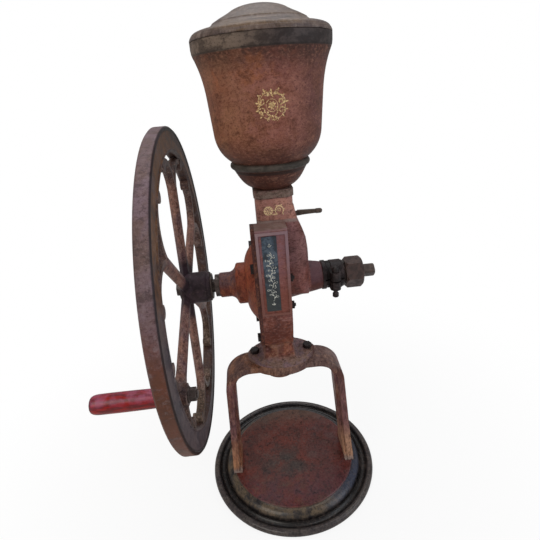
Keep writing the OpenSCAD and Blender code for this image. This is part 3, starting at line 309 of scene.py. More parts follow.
def hopper_late(t, colour):
    """The dark bead with a painted shadow under it, and the grey rim band, paler on the lit left and darker
    on the shaded right as painted light and shade, with a dark line along its lower edge.
    """
    bead = t.window(t.z, BEAD_Z - 0.0042, BEAD_Z + 0.0045, 0.0010)
    colour = t.lay(colour, t.mottle(t.mid, (78, 72, 66), (52, 50, 46), 0.4, 0.6), bead, 0.95)
    # Painted shadow: a dark strip under the bead.
    under_bead_shadow = t.window(t.z, BEAD_Z - 0.0095, BEAD_Z - 0.0048, 0.0010)
    colour = t.lay(colour, (28, 18, 15), under_bead_shadow, 0.75)
    # Painted light and shade: the band is paler on the lit left and darker on the shaded right.
    to_right = t.step(t.x, -0.045, 0.020)
    pale = t.mix(to_right, (118, 102, 90), (70, 61, 60))
    dark = t.mix(to_right, (78, 66, 58), (46, 40, 40))
    grey = t.mottle(t.mid, pale, dark, 0.44, 0.58)
    grey = t.lay(grey, (44, 36, 33), t.step(t.fine, 0.48, 0.38), 0.6)
    line = t.window(t.z, BAND_Z, BAND_Z + 0.0020, 0.0006)
    grey = t.lay(grey, (30, 23, 21), line, 0.5)
    band = t.step(t.z, BAND_Z - 0.0005, BAND_Z + 0.0010)
    return t.lay(colour, grey, band, 0.95)


dress(aged("hopper_paint", (138, 86, 68), (122, 74, 66), (66, 35, 26), (166, 116, 96),
           streak=(1.1, 1.1, 1.6), size=1.3, speck=0.45, wear=0.45, rough=(0.40, 0.62),
           zones=hopper_zones, late=hopper_late, seed=1.0), "hopper")


def lid_zones(t, colour):
    """Rings of tan and grey round the lid, and a greyer dome."""
    rings = t.noise(170, 3, 0.65, 0.4, t.scaled(0.07, 0.07, 1.0), 33.0)
    colour = t.lay(colour, (112, 88, 62), t.step(rings, 0.50, 0.62), 0.65)
    dome = t.step(t.z, HOPPER_TOP + 0.0075, HOPPER_TOP + 0.0205)
    colour = t.lay(colour, (86, 75, 72), dome, 0.45)
    return t.lay(colour, (68, 60, 66), t.step(rings, 0.47, 0.36), 0.65)


dress(aged("lid_paint", (112, 96, 86), (94, 80, 76), (58, 44, 36), (150, 136, 128),
           streak=(1, 1, 0.3), speck=0.4, grime=0.6, wear=0.6, rough=(0.34, 0.52),
           zones=lid_zones, seed=2.0), "lid")


def body_zones(t, colour):
    """The casing's right shoulder, the neck and its ring, the stem and its flange."""
    blots = t.noise(30, 5, 0.65, 0.6, seed=42.0)
    shoulder = t.mul(t.step(t.z, SHAFT_Z + 0.014, SHAFT_Z + 0.049), t.step(t.x, 0.012, 0.018))
    colour = t.lay(colour, t.mottle(blots, (132, 92, 92), (114, 76, 72)), shoulder)
    neck = t.step(t.z, CASING_TOP + 0.0010, CASING_TOP + 0.0035)
    colour = t.lay(colour, t.mottle(blots, (176, 126, 112), (154, 106, 96)), neck)
    ring = t.step(t.z, NECK_TOP - 0.0115, NECK_TOP - 0.0104)
    colour = t.lay(colour, t.mottle(t.mid, (126, 108, 98), (88, 72, 64), 0.4, 0.6), ring)
    stem = t.step(t.z, SHAFT_Z - 0.029, SHAFT_Z - 0.056)
    colour = t.lay(colour, t.mottle(blots, (138, 76, 56), (104, 54, 42)), stem)
    pale = t.mul(t.step(t.z, SADDLE_Z + 0.068, SADDLE_Z + 0.042), t.step(t.mid, 0.42, 0.58))
    colour = t.lay(colour, (150, 110, 86), pale, 0.7)
    flange = t.step(t.z, SADDLE_Z + 0.022, SADDLE_Z + 0.012)
    return t.lay(colour, t.mottle(t.mid, (134, 106, 92), (108, 90, 98), 0.4, 0.6), flange)


def body_late(t, colour):
    """The ledge's painted highlight, the field and border of the front panel with a painted sky reflection on
    their upper part and painted light on the border's left, the black clamp and the dark tube.
    """
    # Painted highlight along the ledge, where the rounded top turns to the light.
    ledge = t.mul(t.step(t.z, CASING_TOP - 0.0035, CASING_TOP - 0.0003),
                  t.step(t.z, CASING_TOP + 0.0035, CASING_TOP + 0.0010))
    colour = t.lay(colour, t.mottle(t.mid, (150, 134, 128), (124, 104, 98), 0.4, 0.6), ledge, 0.75)
    field = t.mul(t.step(t.y, BODY_FRONT + 0.0050, BODY_FRONT + 0.0035),
                  t.step(t.z, SHAFT_Z - 0.030, SHAFT_Z - 0.025))
    # Painted sky reflection: the upper field is purple-grey; the lower field keeps its red paint.
    field_red_and_sheen = t.mix(t.step(t.z, SHAFT_Z + 0.069, SHAFT_Z - 0.001), (132, 96, 104), (132, 76, 64))
    colour = t.lay(colour, field_red_and_sheen, t.mul(field, t.mul(t.step(t.mid, 0.62, 0.46), 0.65)))
    border = t.mul(t.step(t.y, BODY_FRONT + 0.0013, BODY_FRONT + 0.0005),
                   t.step(t.z, SHAFT_Z - 0.029, SHAFT_Z - 0.027))
    # Painted sheen on the border's upper part, paler on the lit left; its lower part keeps its red paint.
    shine = t.mix(t.step(t.x, -0.020, 0.005), (150, 128, 130), (140, 118, 126))
    border_red_and_sheen = t.mix(t.step(t.z, SHAFT_Z + 0.079, SHAFT_Z - 0.006), shine, (124, 84, 76))
    colour = t.lay(colour, border_red_and_sheen, border, 0.7)
    black = t.mottle(t.mid, (32, 25, 26), (60, 50, 50), 0.45, 0.62)
    groove = t.window(t.x, CLAMP_X + 0.0078, CLAMP_X + 0.0132, 0.0006)
    black = t.lay(black, (14, 10, 10), groove, 0.7)
    colour = t.lay(colour, black, t.step(t.x, CLAMP_X - 0.001, CLAMP_X + 0.001))
    tube = t.mul(t.step(t.x, CLAMP_X - 0.0205, CLAMP_X - 0.0170),
                 t.step(t.x, CLAMP_X + 0.001, CLAMP_X - 0.001))
    tube_red = t.mix(t.step(t.z, SHAFT_Z + 0.006, SHAFT_Z - 0.008), (80, 58, 68), (72, 34, 30))
    return t.lay(colour, tube_red, tube, 0.75)


dress(aged("body_paint", (128, 78, 74), (118, 68, 58), (54, 30, 28), (166, 124, 118),
           streak=(0.8, 0.8, 1.3), wear=0.55, rough=(0.34, 0.56), bump=0.3,
           zones=body_zones, late=body_late, seed=3.0), "mill_body")


def cover_zones(t, colour):
    """Redder below the shaft, brown and grey on the nose, dark on the flange."""
    colour = t.lay(colour, (136, 62, 42), t.step(t.z, SHAFT_Z + 0.009, SHAFT_Z - 0.026), 0.6)
    nose_colour = t.mix(t.step(t.z, SHAFT_Z - 0.003, SHAFT_Z + 0.011), (122, 62, 48), (110, 80, 82))
    colour = t.lay(colour, nose_colour, t.step(t.x, NOSE_X + 0.001, NOSE_X - 0.001))
    flange = t.step(t.x, COVER_EDGE - 0.0007, COVER_EDGE + 0.0001)
    return t.lay(colour, (62, 44, 44), flange, 0.85)


dress(aged("cover_paint", (160, 82, 60), (136, 74, 58), (60, 26, 18), (170, 108, 72),
           streak=(1, 1, 0.6), rough=(0.38, 0.58), zones=cover_zones, seed=4.0), "chamber_cover")


def yoke_zones(t, colour):
    """Worn tan feet with grey toes, and a brown and grey arch."""
    blots = t.noise(28, 5, 0.65, 0.6, seed=43.0)
    feet = t.step(t.z, FOOT_TOP + 0.087, FOOT_TOP + 0.022)
    colour = t.lay(colour, t.mottle(blots, (190, 138, 100), (152, 98, 68), 0.4, 0.6), feet, 0.85)
    right = t.mul(t.step(t.x, 0.02, 0.05), t.step(t.z, FOOT_TOP + 0.097, FOOT_TOP + 0.017))
    colour = t.lay(colour, (206, 166, 140), right, 0.5)
    toes = t.mul(t.step(t.z, FOOT_TOP + 0.013, FOOT_TOP + 0.003), t.step(t.y, -0.018, -0.030))
    colour = t.lay(colour, (140, 128, 126), toes, 0.8)
    arch = t.step(t.z, SADDLE_Z - 0.036, SADDLE_Z - 0.014)
    top = t.mix(t.step(t.x, -0.060, 0.060), (142, 98, 74), (122, 102, 98))
    return t.lay(colour, t.mottle(blots, top, (96, 74, 70), 0.4, 0.6), arch, 0.85)


dress(aged("yoke_paint", (122, 82, 84), (114, 68, 56), (46, 27, 24), (176, 138, 116),
           streak=(1, 1, 0.3), wear=0.7, rough=(0.36, 0.58), edge=0.002, zones=yoke_zones, seed=5.0), "yoke")


def foot_zones(t, colour):
    """A red plate with an oil stain, a painted tan reflection on the left of its moulding and a painted blue
    sky reflection on its right, a black groove and a grey lip.
    """
    out = t.radius(t.x, t.y)
    blots = t.noise(22, 5, 0.65, 0.6, seed=21.0)
    red = t.mottle(blots, (108, 44, 32), (84, 38, 31))
    red = t.lay(red, (88, 44, 44), t.mul(t.step(t.x, 0.00, 0.07), t.step(t.mid, 0.36, 0.60)))
    stain = t.step(t.radius(t.add(t.x, 0.016), t.add(t.y, 0.030)), 0.060, 0.014)
    red = t.lay(red, (58, 54, 50), t.mul(stain, t.step(blots, 0.36, 0.55)), 0.8)
    front = t.mul(t.step(t.y, -0.025, -0.080), t.step(t.mid, 0.64, 0.40))
    red = t.lay(red, (94, 50, 60), front, 0.75)
    back = t.step(t.y, 0.055, 0.105)
    red = t.lay(red, (94, 74, 62), back, 0.7)
    colour = t.lay(colour, red, t.step(out, FOOT_R - 0.0375, FOOT_R - 0.0385))
    moulding = t.window(out, FOOT_R - 0.0380, FOOT_R - 0.0255, 0.002)
    to_right = t.add(t.mul(t.x, 0.9), t.mul(t.y, 0.7))
    # Painted reflection: tan on the left and front of the moulding.
    tan = t.mul(moulding, t.step(to_right, 0.03, -0.06))
    colour = t.lay(colour, (116, 98, 74), t.mul(tan, t.mul(t.step(t.mid, 0.40, 0.62), 0.85)))
    # Painted sky reflection: blue on the right and back of the moulding.
    blue = t.mul(moulding, t.step(t.add(to_right, t.mul(t.y, -1.2)), 0.08, 0.13))
    colour = t.lay(colour, (58, 66, 88), blue, 0.7)
    groove = t.window(out, FOOT_R - 0.0250, FOOT_R - 0.0115, 0.0012)
    colour = t.lay(colour, (16, 13, 13), groove, 0.9)
    lip = t.step(out, FOOT_R - 0.0105, FOOT_R - 0.0085)
    return t.lay(colour, t.mottle(t.mid, (86, 78, 74), (56, 50, 52)), lip, 0.9)


dress(aged("foot_paint", (48, 45, 45), (38, 37, 42), (18, 14, 14), (98, 84, 78),
           size=1.2, wear=0.35, rough=(0.24, 0.46), bump=0.3, coat=0.25, specular=0.25,
           zones=foot_zones, seed=6.0), "foot")


# ---------------------------------------------------------------- the flywheel

def about_shaft(t):
    """The height over the shaft's line, and the distance from it."""
    up = t.sub(t.z, SHAFT_Z)
    return up, t.radius(t.y, up)


def rim_zones(t, colour):
    """A brown lower tread, a grey face that is ochre at the top and shaded at the back, a brown inside."""
    up, out = about_shaft(t)
    blots = t.noise(30, 5, 0.65, 0.6, seed=44.0)
    low = t.step(t.add(up, t.mul(t.y, -0.15)), 0.13, 0.02)
    colour = t.lay(colour, t.mottle(blots, (106, 56, 38), (78, 50, 40)), low)
    face = t.mul(t.step(t.x, WHEEL_FACE - 0.0025, WHEEL_FACE - 0.0012),
                 t.step(out, WHEEL_R - 0.0025, WHEEL_R - 0.0040))
    colour = t.lay(colour, t.mottle(blots, (90, 78, 80), (62, 56, 62)), face)
    ochre = t.mul(face, t.mul(t.step(up, 0.02, 0.12), t.step(blots, 0.30, 0.46)))
    colour = t.lay(colour, t.mottle(t.mid, (72, 48, 32), (116, 78, 44), 0.36, 0.60), ochre, 0.9)
    shaded = t.mul(face, t.mul(t.step(out, WHEEL_R - 0.020, WHEEL_R - 0.014), t.step(t.y, 0.010, 0.050)))
    colour = t.lay(colour, (44, 34, 30), shaded, 0.8)
    inside = t.step(out, WHEEL_R - 0.0285, WHEEL_R - 0.0305)
    return t.lay(colour, t.mottle(t.mid, (86, 62, 50), (62, 50, 50), 0.38, 0.62), inside)


def rim_late(t, colour):
    """Brown over the lower tread, and a dark line round the face."""
    up, out = about_shaft(t)
    tread = t.step(out, WHEEL_R - 0.0015, WHEEL_R - 0.0007)
    low = t.mul(t.step(up, 0.100, 0.010), t.step(t.mid, 0.66, 0.44))
    colour = t.lay(colour, (98, 60, 44), t.mul(tread, low), 0.75)
    line = t.mul(t.step(out, WHEEL_R - 0.0068, WHEEL_R - 0.0052),
                 t.step(t.x, WHEEL_FACE - 0.002, WHEEL_FACE - 0.001))
    return t.lay(colour, (24, 20, 22), line, 0.85)


# Painted sky reflection: the purple-grey base colour stands for the sky on the upper tread; the zones paint
# the lower tread brown.
dress(aged("wheel_rim_paint", (118, 98, 106), (100, 78, 74), (54, 41, 42), (142, 126, 126),
           streak=(0.8, 1.0, 1.0), size=0.9, speck=0.35, wear=0.35, rough=(0.38, 0.60), bump=0.4,
           zones=rim_zones, late=rim_late, seed=7.0), "flywheel_rim")


def spoke_zones(t, colour):
    """Darker arms near the rim, with olive on the lowest."""
    up, out = about_shaft(t)
    arms = t.step(out, 0.145, 0.175)
    colour = t.lay(colour, t.mottle(t.mid, (78, 58, 48), (62, 56, 62), 0.4, 0.6), arms, 0.85)
    return t.lay(colour, (88, 76, 60), t.mul(arms, t.step(up, -0.10, -0.15)), 0.6)


def spoke_late(t, colour):
    """The black hub."""
    black = t.mottle(t.mid, (54, 42, 50), (30, 24, 29), 0.4, 0.6)
    black = t.lay(black, (84, 70, 74), t.step(t.fine, 0.55, 0.66), 0.5)
    return t.lay(colour, black, t.step(about_shaft(t)[1], 0.054, 0.038), 0.92)


dress(aged("wheel_spoke_paint", (138, 98, 84), (102, 76, 80), (48, 32, 30), (170, 142, 128),
           speck=0.6, grime=0.6, wear=0.6, rough=(0.36, 0.58), edge=0.0025,
           zones=spoke_zones, late=spoke_late, seed=8.0), "flywheel_spokes")


# ---------------------------------------------------------------- bare metal

def steel(name, base, dark, light, metal=0.35, seed=0.0, turned=None):
    """Dull, handled metal with paler edges; turned adds a height of its own, such as a thread."""
    t = Paint(name)
    mid = t.noise(130, 5, 0.65, 0.3, seed=seed)
    fine = t.noise(800, 3, 0.7, seed=seed + 2)
    colour = t.mottle(mid, base, dark, 0.38, 0.62)
    colour = t.lay(colour, light, t.step(fine, 0.55, 0.78), 0.5)
    on_edge, normal = t.edges(0.0007)
    colour = t.lay(colour, light, t.mul(on_edge, t.step(fine, 0.35, 0.6)), 0.8)
    height = t.add(t.mul(mid, 0.4), t.mul(fine, 0.4))
    if turned:
        height = t.add(height, turned(t))
    roughness = t.between(t.step(mid, 0.3, 0.7), 0.35, 0.6)
    return t.finish(colour, roughness, height, 0.3, 0.0004, normal, metal=metal, specular=0.45)


def thread_height(t):
    """Screw threads on the sleeve, where it is thinner than its hexagon."""
    pitch = 0.002
    up, out = about_shaft(t)
    ridge = t.math("SINE", t.add(t.mul(t.x, 2 * math.pi / pitch), t.math("ARCTAN2", t.y, up)))
    return t.mul(t.mul(ridge, t.step(out, 0.0162, 0.0155)), 1.6)


dress(steel("black_bolts", (46, 36, 36), (26, 20, 20), (96, 84, 80), seed=1.0),
      "saddle_bolts", "saddle_nuts", "cover_bolts", "fixed_burr_bolts", "fixed_burr_nuts",
      "pinch_screw", "pinch_nut")
dress(steel("spindle_nut_steel", (84, 72, 68), (56, 46, 44), (128, 116, 108), seed=2.0),
      "spindle_nut", "hub_nut", "spindle_washer", "end_washer")
dress(steel("sleeve_steel", (78, 60, 56), (54, 42, 40), (120, 100, 92), seed=3.0, turned=thread_height),
      "adjusting_sleeve")
dress(steel("shaft_steel", (84, 70, 64), (58, 48, 46), (140, 126, 116), seed=4.0),
      "main_shaft", "crank_spindle", "shaft_collar", "hub_washer")
dress(steel("gate_steel", (92, 76, 68), (62, 50, 42), (136, 120, 108), seed=5.0),
      "gate_plate", "gate_handle")
dress(steel("bush_bronze", (84, 72, 70), (60, 50, 46), (150, 132, 100), seed=6.0),
      "left_bush", "thrust_washer")
dress(steel("burr_iron", (92, 90, 88), (58, 54, 52), (150, 148, 144), metal=0.7, seed=7.0),
      "fixed_burr", "rotating_burr", "burr_carrier", "feed_screw")
dress(steel("screw_steel", (70, 62, 58), (44, 38, 36), (120, 112, 104), seed=8.0),
      "yoke_screws", "hopper_screw", "burr_screws", "feed_screw_pin", "collar_pin")


# ---------------------------------------------------------------- label and grip

def label_paint():
    """Faded blue-black, with a painted sky reflection that makes the top bluer and paler in patches."""
    t = Paint("label_paint")
    mid = t.noise(90, 5, 0.65, 0.4, seed=11.0)
    fine = t.noise(700, 3, 0.7, seed=12.0)
    # Painted sky reflection: bluer at the top, near black below.
    blue = t.mix(t.step(t.z, SHAFT_Z + 0.049, SHAFT_Z - 0.006), (40, 58, 76), (34, 42, 42))
    colour = t.mottle(mid, blue, (22, 30, 38), 0.42, 0.62)
    # Painted sky reflection in pale patches at the top.
    sky_sheen = t.mul(t.step(mid, 0.50, 0.40), t.step(t.z, SHAFT_Z + 0.014, SHAFT_Z + 0.049))
    colour = t.lay(colour, (88, 100, 112), sky_sheen, 0.6)
    colour = t.lay(colour, (112, 120, 126), t.step(fine, 0.58, 0.74), 0.5)
    height = t.add(t.mul(mid, 0.4), t.mul(fine, 0.4))
    return t.finish(colour, t.between(mid, 0.3, 0.55), height, 0.25, 0.0004, coat=0.2)


dress(label_paint(), "label_plate")


def grip_paint():
    """Red lacquer with the wood's grain along the grip, a painted pink highlight on top, pale grain streaks
    that are partly scratches and partly painted highlight, and dark at both ends.
    """
    t = Paint("grip_paint")
    grain = t.noise(260, 4, 0.6, 0.2, t.scaled(0.18, 1.0, 1.0), 13.0)
    mid = t.noise(60, 4, 0.6, 0.3, seed=14.0)
    colour = t.mottle(grain, (150, 20, 16), (98, 12, 14))
    # Painted highlight: pink patches on the top of the grip.
    top = t.step(t.sub(t.z, GRIP_Z), 0.000, 0.010)
    colour = t.lay(colour, (166, 92, 122), t.mul(top, t.mul(t.step(mid, 0.32, 0.58), 0.7)))
    # Pale streaks along the grain, partly scratches and partly painted highlight.
    colour = t.lay(colour, (180, 84, 84), t.step(grain, 0.60, 0.74), 0.4)
    colour = t.lay(colour, (58, 14, 14), t.step(grain, 0.36, 0.24), 0.8)
    ends = t.most(t.step(t.x, GRIP_LOW.x + 0.005, GRIP_LOW.x),
                  t.step(t.x, GRIP_HIGH.x - 0.0060, GRIP_HIGH.x - 0.0035))
    colour = t.lay(colour, (58, 34, 36), ends, 0.8)
    normal = t.edges(0.001)[1]
    height = t.add(t.mul(grain, 0.6), t.mul(mid, 0.3))
    return t.finish(colour, t.between(t.step(mid, 0.3, 0.7), 0.3, 0.5), height, 0.3, 0.0005, normal,
                    coat=0.15, coat_rough=0.25, specular=0.28)


dress(grip_paint(), "hand_grip")


# ---------------------------------------------------------------- gilt ornaments

ORNAMENT_RIGHT = Vector((1, 0, 0))
ORNAMENT_UP = Vector((0, 0, 1))
ORNAMENT_OUT = ORNAMENT_RIGHT.cross(ORNAMENT_UP)
ORNAMENT_LIFT = 0.00012                           # how far the gilt stands off the paint
RAY_START = 0.04                                  # how far in front of the node a ray starts
THINNEST = 0.05                                   # half the width of a stroke's thin end, in millimetres


def gilt(name, gold, bright, ground, bare):
    """Worn gilt: flakes of two golds, and the paint below where the noise is under bare."""
    t = Paint(name)
    wear = t.noise(420, 4, 0.7, 0.3, seed=31.0)
    tone = t.noise(700, 3, 0.7, seed=32.0)
    colour = t.mottle(tone, gold, bright, 0.40, 0.56)
    colour = t.lay(colour, ground, t.step(wear, bare + 0.08, bare - 0.08))
    return t.finish(colour, 0.42, t.add(t.mul(wear, 0.5), t.mul(tone, 0.5)), 0.3, 0.0003, metal=0.15)


def around(centre, radius, degrees, squash=1.0):
    """The point at that angle round a centre."""
    turn = math.radians(degrees)
    return centre[0] + radius * math.cos(turn), centre[1] + squash * radius * math.sin(turn)


class Ornament:
    """Flat strokes, drawn in millimetres round a point and laid onto the front of a CAD node."""

    def __init__(self, name, node, at, material, slot="label", body="frame"):
        self.verts, self.faces = [], []
        self.name, self.at, self.material, self.slot, self.body = name, Vector(at), material, slot, body
        mesh = nodes[node].data
        self.surface = BVHTree.FromPolygons([v.co.copy() for v in mesh.vertices],
                                            [tuple(p.vertices) for p in mesh.polygons])

    def laid(self, right, up):
        """The drawn point on the node's surface, a little in front of it."""
        point = self.at + ORNAMENT_RIGHT * (right / 1000) + ORNAMENT_UP * (up / 1000)
        hit, normal, _, _ = self.surface.ray_cast(point + ORNAMENT_OUT * RAY_START, -ORNAMENT_OUT)
        if hit is None:
            hit, normal = point, ORNAMENT_OUT
        if normal.dot(ORNAMENT_OUT) < 0:
            normal = -normal
        return hit + normal * ORNAMENT_LIFT

    def stroke(self, points, width, taper=1.0):
        """A ribbon along the points; taper 1 narrows both ends to a hair."""
        last = len(points) - 1
        first_vert = len(self.verts)
        for i, (right, up) in enumerate(points):
            before, after = points[max(0, i - 1)], points[min(last, i + 1)]
            along, rise = after[0] - before[0], after[1] - before[1]
            length = math.hypot(along, rise) or 1.0
            swell = math.sin(math.pi * i / last) ** 0.6
            half = max(width / 2 * ((1 - taper) + taper * swell), THINNEST)
            across, over = -rise / length * half, along / length * half
            self.verts.append(self.laid(right + across, up + over))
            self.verts.append(self.laid(right - across, up - over))
        for i in range(last):
            k = first_vert + 2 * i
            self.faces.append((k, k + 1, k + 3, k + 2))

    def arc(self, centre, radius, start, end, width, taper=1.0, pieces=18, squash=1.0):
        """A stroke round a centre, from one angle to another in degrees."""
        self.stroke([around(centre, radius, start + (end - start) * i / pieces, squash)
                     for i in range(pieces + 1)], width, taper)

    def ring(self, centre, radius, width, sides=18):
        self.arc(centre, radius, 0, 360, width, 0.0, sides)

    def spiral(self, centre, outer, inner, start, turns, width):
        pieces = int(22 * abs(turns)) + 6
        self.stroke([around(centre, outer + (inner - outer) * i / pieces, start + 360 * turns * i / pieces)
                     for i in range(pieces + 1)], width, 0.7)

    def leaf(self, root, degrees, length, width):
        pieces = 8
        self.stroke([around(root, length * i / pieces, degrees) for i in range(pieces + 1)], width)

    def make(self):
        mesh = bpy.data.meshes.new(self.name)
        mesh.from_pydata([tuple(v) for v in self.verts], [], self.faces)
        mesh.validate()
        mesh.materials.append(self.material)
        for polygon in mesh.polygons:
            polygon.use_smooth = True
        piece = bpy.data.objects.new(self.name, mesh)
        bpy.context.scene.collection.objects.link(piece)
        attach(piece, self.body)


def hopper_wreath():
    """A rosette in a wreath of scrolls, leaves and scattered flourishes."""
    gold = gilt("hopper_gilt", (200, 154, 96), (236, 208, 154), (120, 78, 60), 0.47)
    at = (HOPPER_MIDDLE.x + 0.0025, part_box("hopper")[0].y, BAND_Z - 0.0575)
    art = Ornament("hopper_ornament", "hopper", at, gold)
    for k in range(8):
        art.leaf((0, 0), 22.5 + 45 * k, 5.2, 2.2)
    art.ring((0, 0), 1.5, 0.9)
    art.ring((0, 0), 6.6, 0.6, 36)
    for side in (-1, 1):
        art.spiral((side * 11.0, 4.5), 4.6, 0.8, 90 - side * 20, -side * 1.3, 1.3)
        art.spiral((side * 11.0, -5.5), 4.4, 0.8, 270 + side * 20, side * 1.3, 1.3)
        for k in range(5):
            angle = 62 - 26 * k
            turn = math.radians(angle)
            root = (side * 15.2 * math.cos(turn), 15.5 * math.sin(turn))
            art.leaf(root, angle if side > 0 else 180 - angle, 4.2, 1.7)
        art.arc((0, -0.5), 15.0, 90 - side * 20, 90 - side * 160, 0.8, 0.6, 30)
        art.leaf((side * 2.2, 10.2), 90 - side * 35, 5.5, 2.0)
        art.leaf((side * 2.2, -10.8), 270 + side * 40, 5.0, 2.0)
        art.spiral((side * 5.2, 13.2), 2.4, 0.5, 90, -side * 1.1, 0.9)
        art.spiral((side * 4.6, -14.4), 2.2, 0.5, 270, side * 1.1, 0.9)
    art.leaf((0, 9.6), 90, 7.5, 2.4)
    art.leaf((0, -9.8), 270, 6.5, 2.2)
    draw = random.Random(3)
    flourishes = 26
    for k in range(flourishes):
        turn = math.radians(360 * k / flourishes)
        out = draw.uniform(8.0, 16.5)
        art.ring((out * math.cos(turn), out * math.sin(turn)), draw.uniform(0.3, 0.8), 0.9, 6)
        root = (out * math.cos(turn + 0.1), out * math.sin(turn + 0.1))
        art.leaf(root, draw.uniform(0, 360), draw.uniform(2.0, 4.0), 1.1)
    art.make()


def neck_sprig():
    """A small flower, and a curl with leaves beside it."""
    gold = gilt("neck_gilt", (204, 162, 116), (240, 216, 170), (120, 84, 72), 0.42)
    at = (HOPPER_MIDDLE.x - 0.0015, -0.0275, NECK_TOP - 0.028)
    art = Ornament("neck_ornament", "mill_body", at, gold)
    flower = (-7.6, 0.4)
    for k in range(8):
        art.leaf(around(flower, 2.2, 45 * k), 45 * k, 4.6, 2.1)
        art.ring(around(flower, 5.6, 45 * k + 22.345), 0.6, 1.0, 6)
    art.ring(flower, 1.3, 1.1, 12)
    art.arc((7.4, 0.2), 5.4, -50, 240, 1.5, 0.5, 30, 1.15)
    art.spiral((7.0, 0.8), 3.2, 0.5, 200, -1.2, 1.2)
    for k in range(6):
        angle = -45 + 55 * k
        turn = math.radians(angle)
        art.leaf((7.4 + 5.6 * math.cos(turn), 0.2 + 6.4 * math.sin(turn)), angle, 2.6, 1.5)
    art.leaf((-1.0, -5.6), 20, 4.6, 1.5)
    art.leaf((0.2, -5.6), 160, 4.6, 1.5)
    art.make()


def label_vine():
    """A waving stem with leaves and tendrils up the label, and a small shoot over each end."""
    gold = gilt("label_gilt", (198, 200, 190), (226, 226, 216), (40, 52, 62), 0.47)
    low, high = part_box("label_plate")
    centre = middle("label_plate")
    art = Ornament("label_ornament", "label_plate", (centre.x, low.y, centre.z), gold)
    half = (high.z - low.z) * 500
    waves, sway, pieces = 3.5, 1.8, 60
    stem = [(sway * math.sin(i / pieces * 2 * math.pi * waves), -half + 16 + (2 * half - 38) * i / pieces)
            for i in range(pieces + 1)]
    art.stroke(stem, 0.9, 0.3)
    draw = random.Random(5)
    for i in range(4, pieces - 2, 3):
        right, up = stem[i]
        side = 1 if (i // 3) % 2 else -1
        angle = 90 - side * (48 + draw.uniform(-10, 10))
        art.leaf((right, up), angle, draw.uniform(3.6, 5.2), draw.uniform(1.2, 1.9))
        start = 200 if side > 0 else -20
        art.spiral((right + side * 4.3, up + 2.0), draw.uniform(1.5, 2.1), 0.4, start, side * 1.0, 0.7)
        if i % 2:
            art.ring((right - side * 3.0, up + 1.0), 0.45, 0.8, 6)
    for up in (half - 14.5, -half + 9.5):
        art.leaf((0, up), 90, 4.5, 1.6)
        for side in (-1, 1):
            art.leaf((0, up), 90 - side * 50, 3.6, 1.4)
    art.make()


hopper_wreath()
neck_sprig()
label_vine()


# ---------------------------------------------------------------- floor, light and camera

WHITE = (1, 1, 1, 1)


def floor():
    """A matt floor that the camera sees nearly white, a little darker round the foot."""
    half, under = 6.0, -0.0004
    mesh = bpy.data.meshes.new("floor")
    mesh.from_pydata([(-half, -half, under), (half, -half, under), (half, half, under), (-half, half, under)],
                     [], [(0, 1, 2, 3)])
    sheet = bpy.data.objects.new("floor", mesh)
    bpy.context.scene.collection.objects.link(sheet)
    t = Nodes(bpy.data.materials.new("floor_paper"))
    matt = t.node("BsdfDiffuse", {"Color": (0.80, 0.80, 0.80, 1)})
    white = t.node("Emission", {"Color": WHITE})
    place = t.node("TexCoord").outputs["Object"]
    away = t.node("VectorMath", {0: place}, operation="LENGTH").outputs["Value"]
    fade = {"Value": away, "From Min": 0.15, "From Max": 0.75, "To Min": 0.88, "To Max": 1.0}
    share = t.node("MapRange", fade, interpolation_type="SMOOTHSTEP").outputs["Result"]
    seen = t.mul(t.node("LightPath").outputs["Is Camera Ray"], share)
    both = t.node("MixShader", {0: seen, 1: matt.outputs[0], 2: white.outputs[0]})
    t.node("OutputMaterial", {0: both.outputs[0]})
    mesh.materials.append(t.owner)


def world():
    """Soft warm light from all round, and plain white behind the object."""
    t = Nodes(bpy.data.worlds.new("studio"))
    soft = t.node("Background", {"Color": (1.0, 0.98, 0.96, 1), "Strength": 0.34})
    white = t.node("Background", {"Color": WHITE, "Strength": 1.0})
    seen = t.node("LightPath").outputs["Is Camera Ray"]
    both = t.node("MixShader", {0: seen, 1: soft.outputs[0], 2: white.outputs[0]})
    t.node("OutputWorld", {0: both.outputs[0]})
    bpy.context.scene.world = t.owner


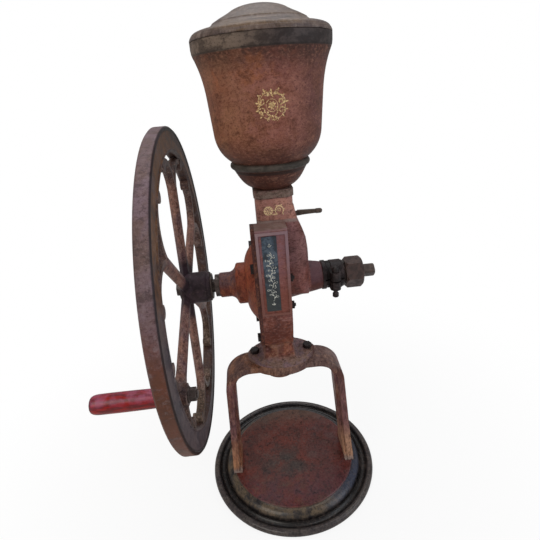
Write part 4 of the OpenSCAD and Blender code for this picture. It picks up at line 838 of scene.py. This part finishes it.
def softbox(name, at, target, size, power, colour):
    """A square or oblong lamp that points at the target, its power in watts."""
    light = bpy.data.lights.new(name, "AREA")
    light.shape = "RECTANGLE"
    light.size, light.size_y = size
    light.energy = power
    light.color = colour
    box = bpy.data.objects.new(name, light)
    bpy.context.scene.collection.objects.link(box)
    box.location = at
    box.rotation_euler = (Vector(target) - Vector(at)).to_track_quat("-Z", "Y").to_euler()


# The camera as it was fitted to the photograph
CAMERA_AT = (-0.03397, -0.55772, 0.65887)
YAW, PITCH, ROLL = -0.039, 0.423, -0.086          # radians; pitch is how far it looks down
FOCAL_PIXELS = 402.065
PHOTO_PIXELS = 540
SENSOR_MM = 36


def camera():
    """The camera, with the photograph's view and focal length."""
    ahead = Vector((-math.sin(YAW) * math.cos(PITCH), math.cos(YAW) * math.cos(PITCH), -math.sin(PITCH)))
    level = Vector((math.cos(YAW), math.sin(YAW), 0))
    upright = level.cross(ahead)
    right = math.cos(ROLL) * level + math.sin(ROLL) * upright
    up = -math.sin(ROLL) * level + math.cos(ROLL) * upright
    optics = bpy.data.cameras.new("camera")
    optics.sensor_fit = "HORIZONTAL"
    optics.sensor_width = SENSOR_MM
    optics.lens = FOCAL_PIXELS * SENSOR_MM / PHOTO_PIXELS
    optics.clip_start = 0.01
    eye = bpy.data.objects.new("camera", optics)
    bpy.context.scene.collection.objects.link(eye)
    eye.matrix_world = Matrix.Translation(CAMERA_AT) @ Matrix((right, up, -ahead)).transposed().to_4x4()
    bpy.context.scene.camera = eye


floor()
world()
softbox("key", at=(-1.15, -1.25, 1.70), target=(0, 0, 0.40), size=(1.3, 1.3), power=17,
        colour=(1.0, 0.95, 0.88))
softbox("fill", at=(1.35, -0.75, 1.10), target=(0, 0, 0.40), size=(1.0, 1.4), power=9,
        colour=(0.86, 0.92, 1.0))
softbox("top", at=(0.10, 0.50, 1.95), target=(0, 0, 0.30), size=(1.4, 1.2), power=12,
        colour=(0.95, 0.97, 1.0))
camera()
bpy.context.scene.view_settings.view_transform = "Standard"

bpy.context.view_layer.update()
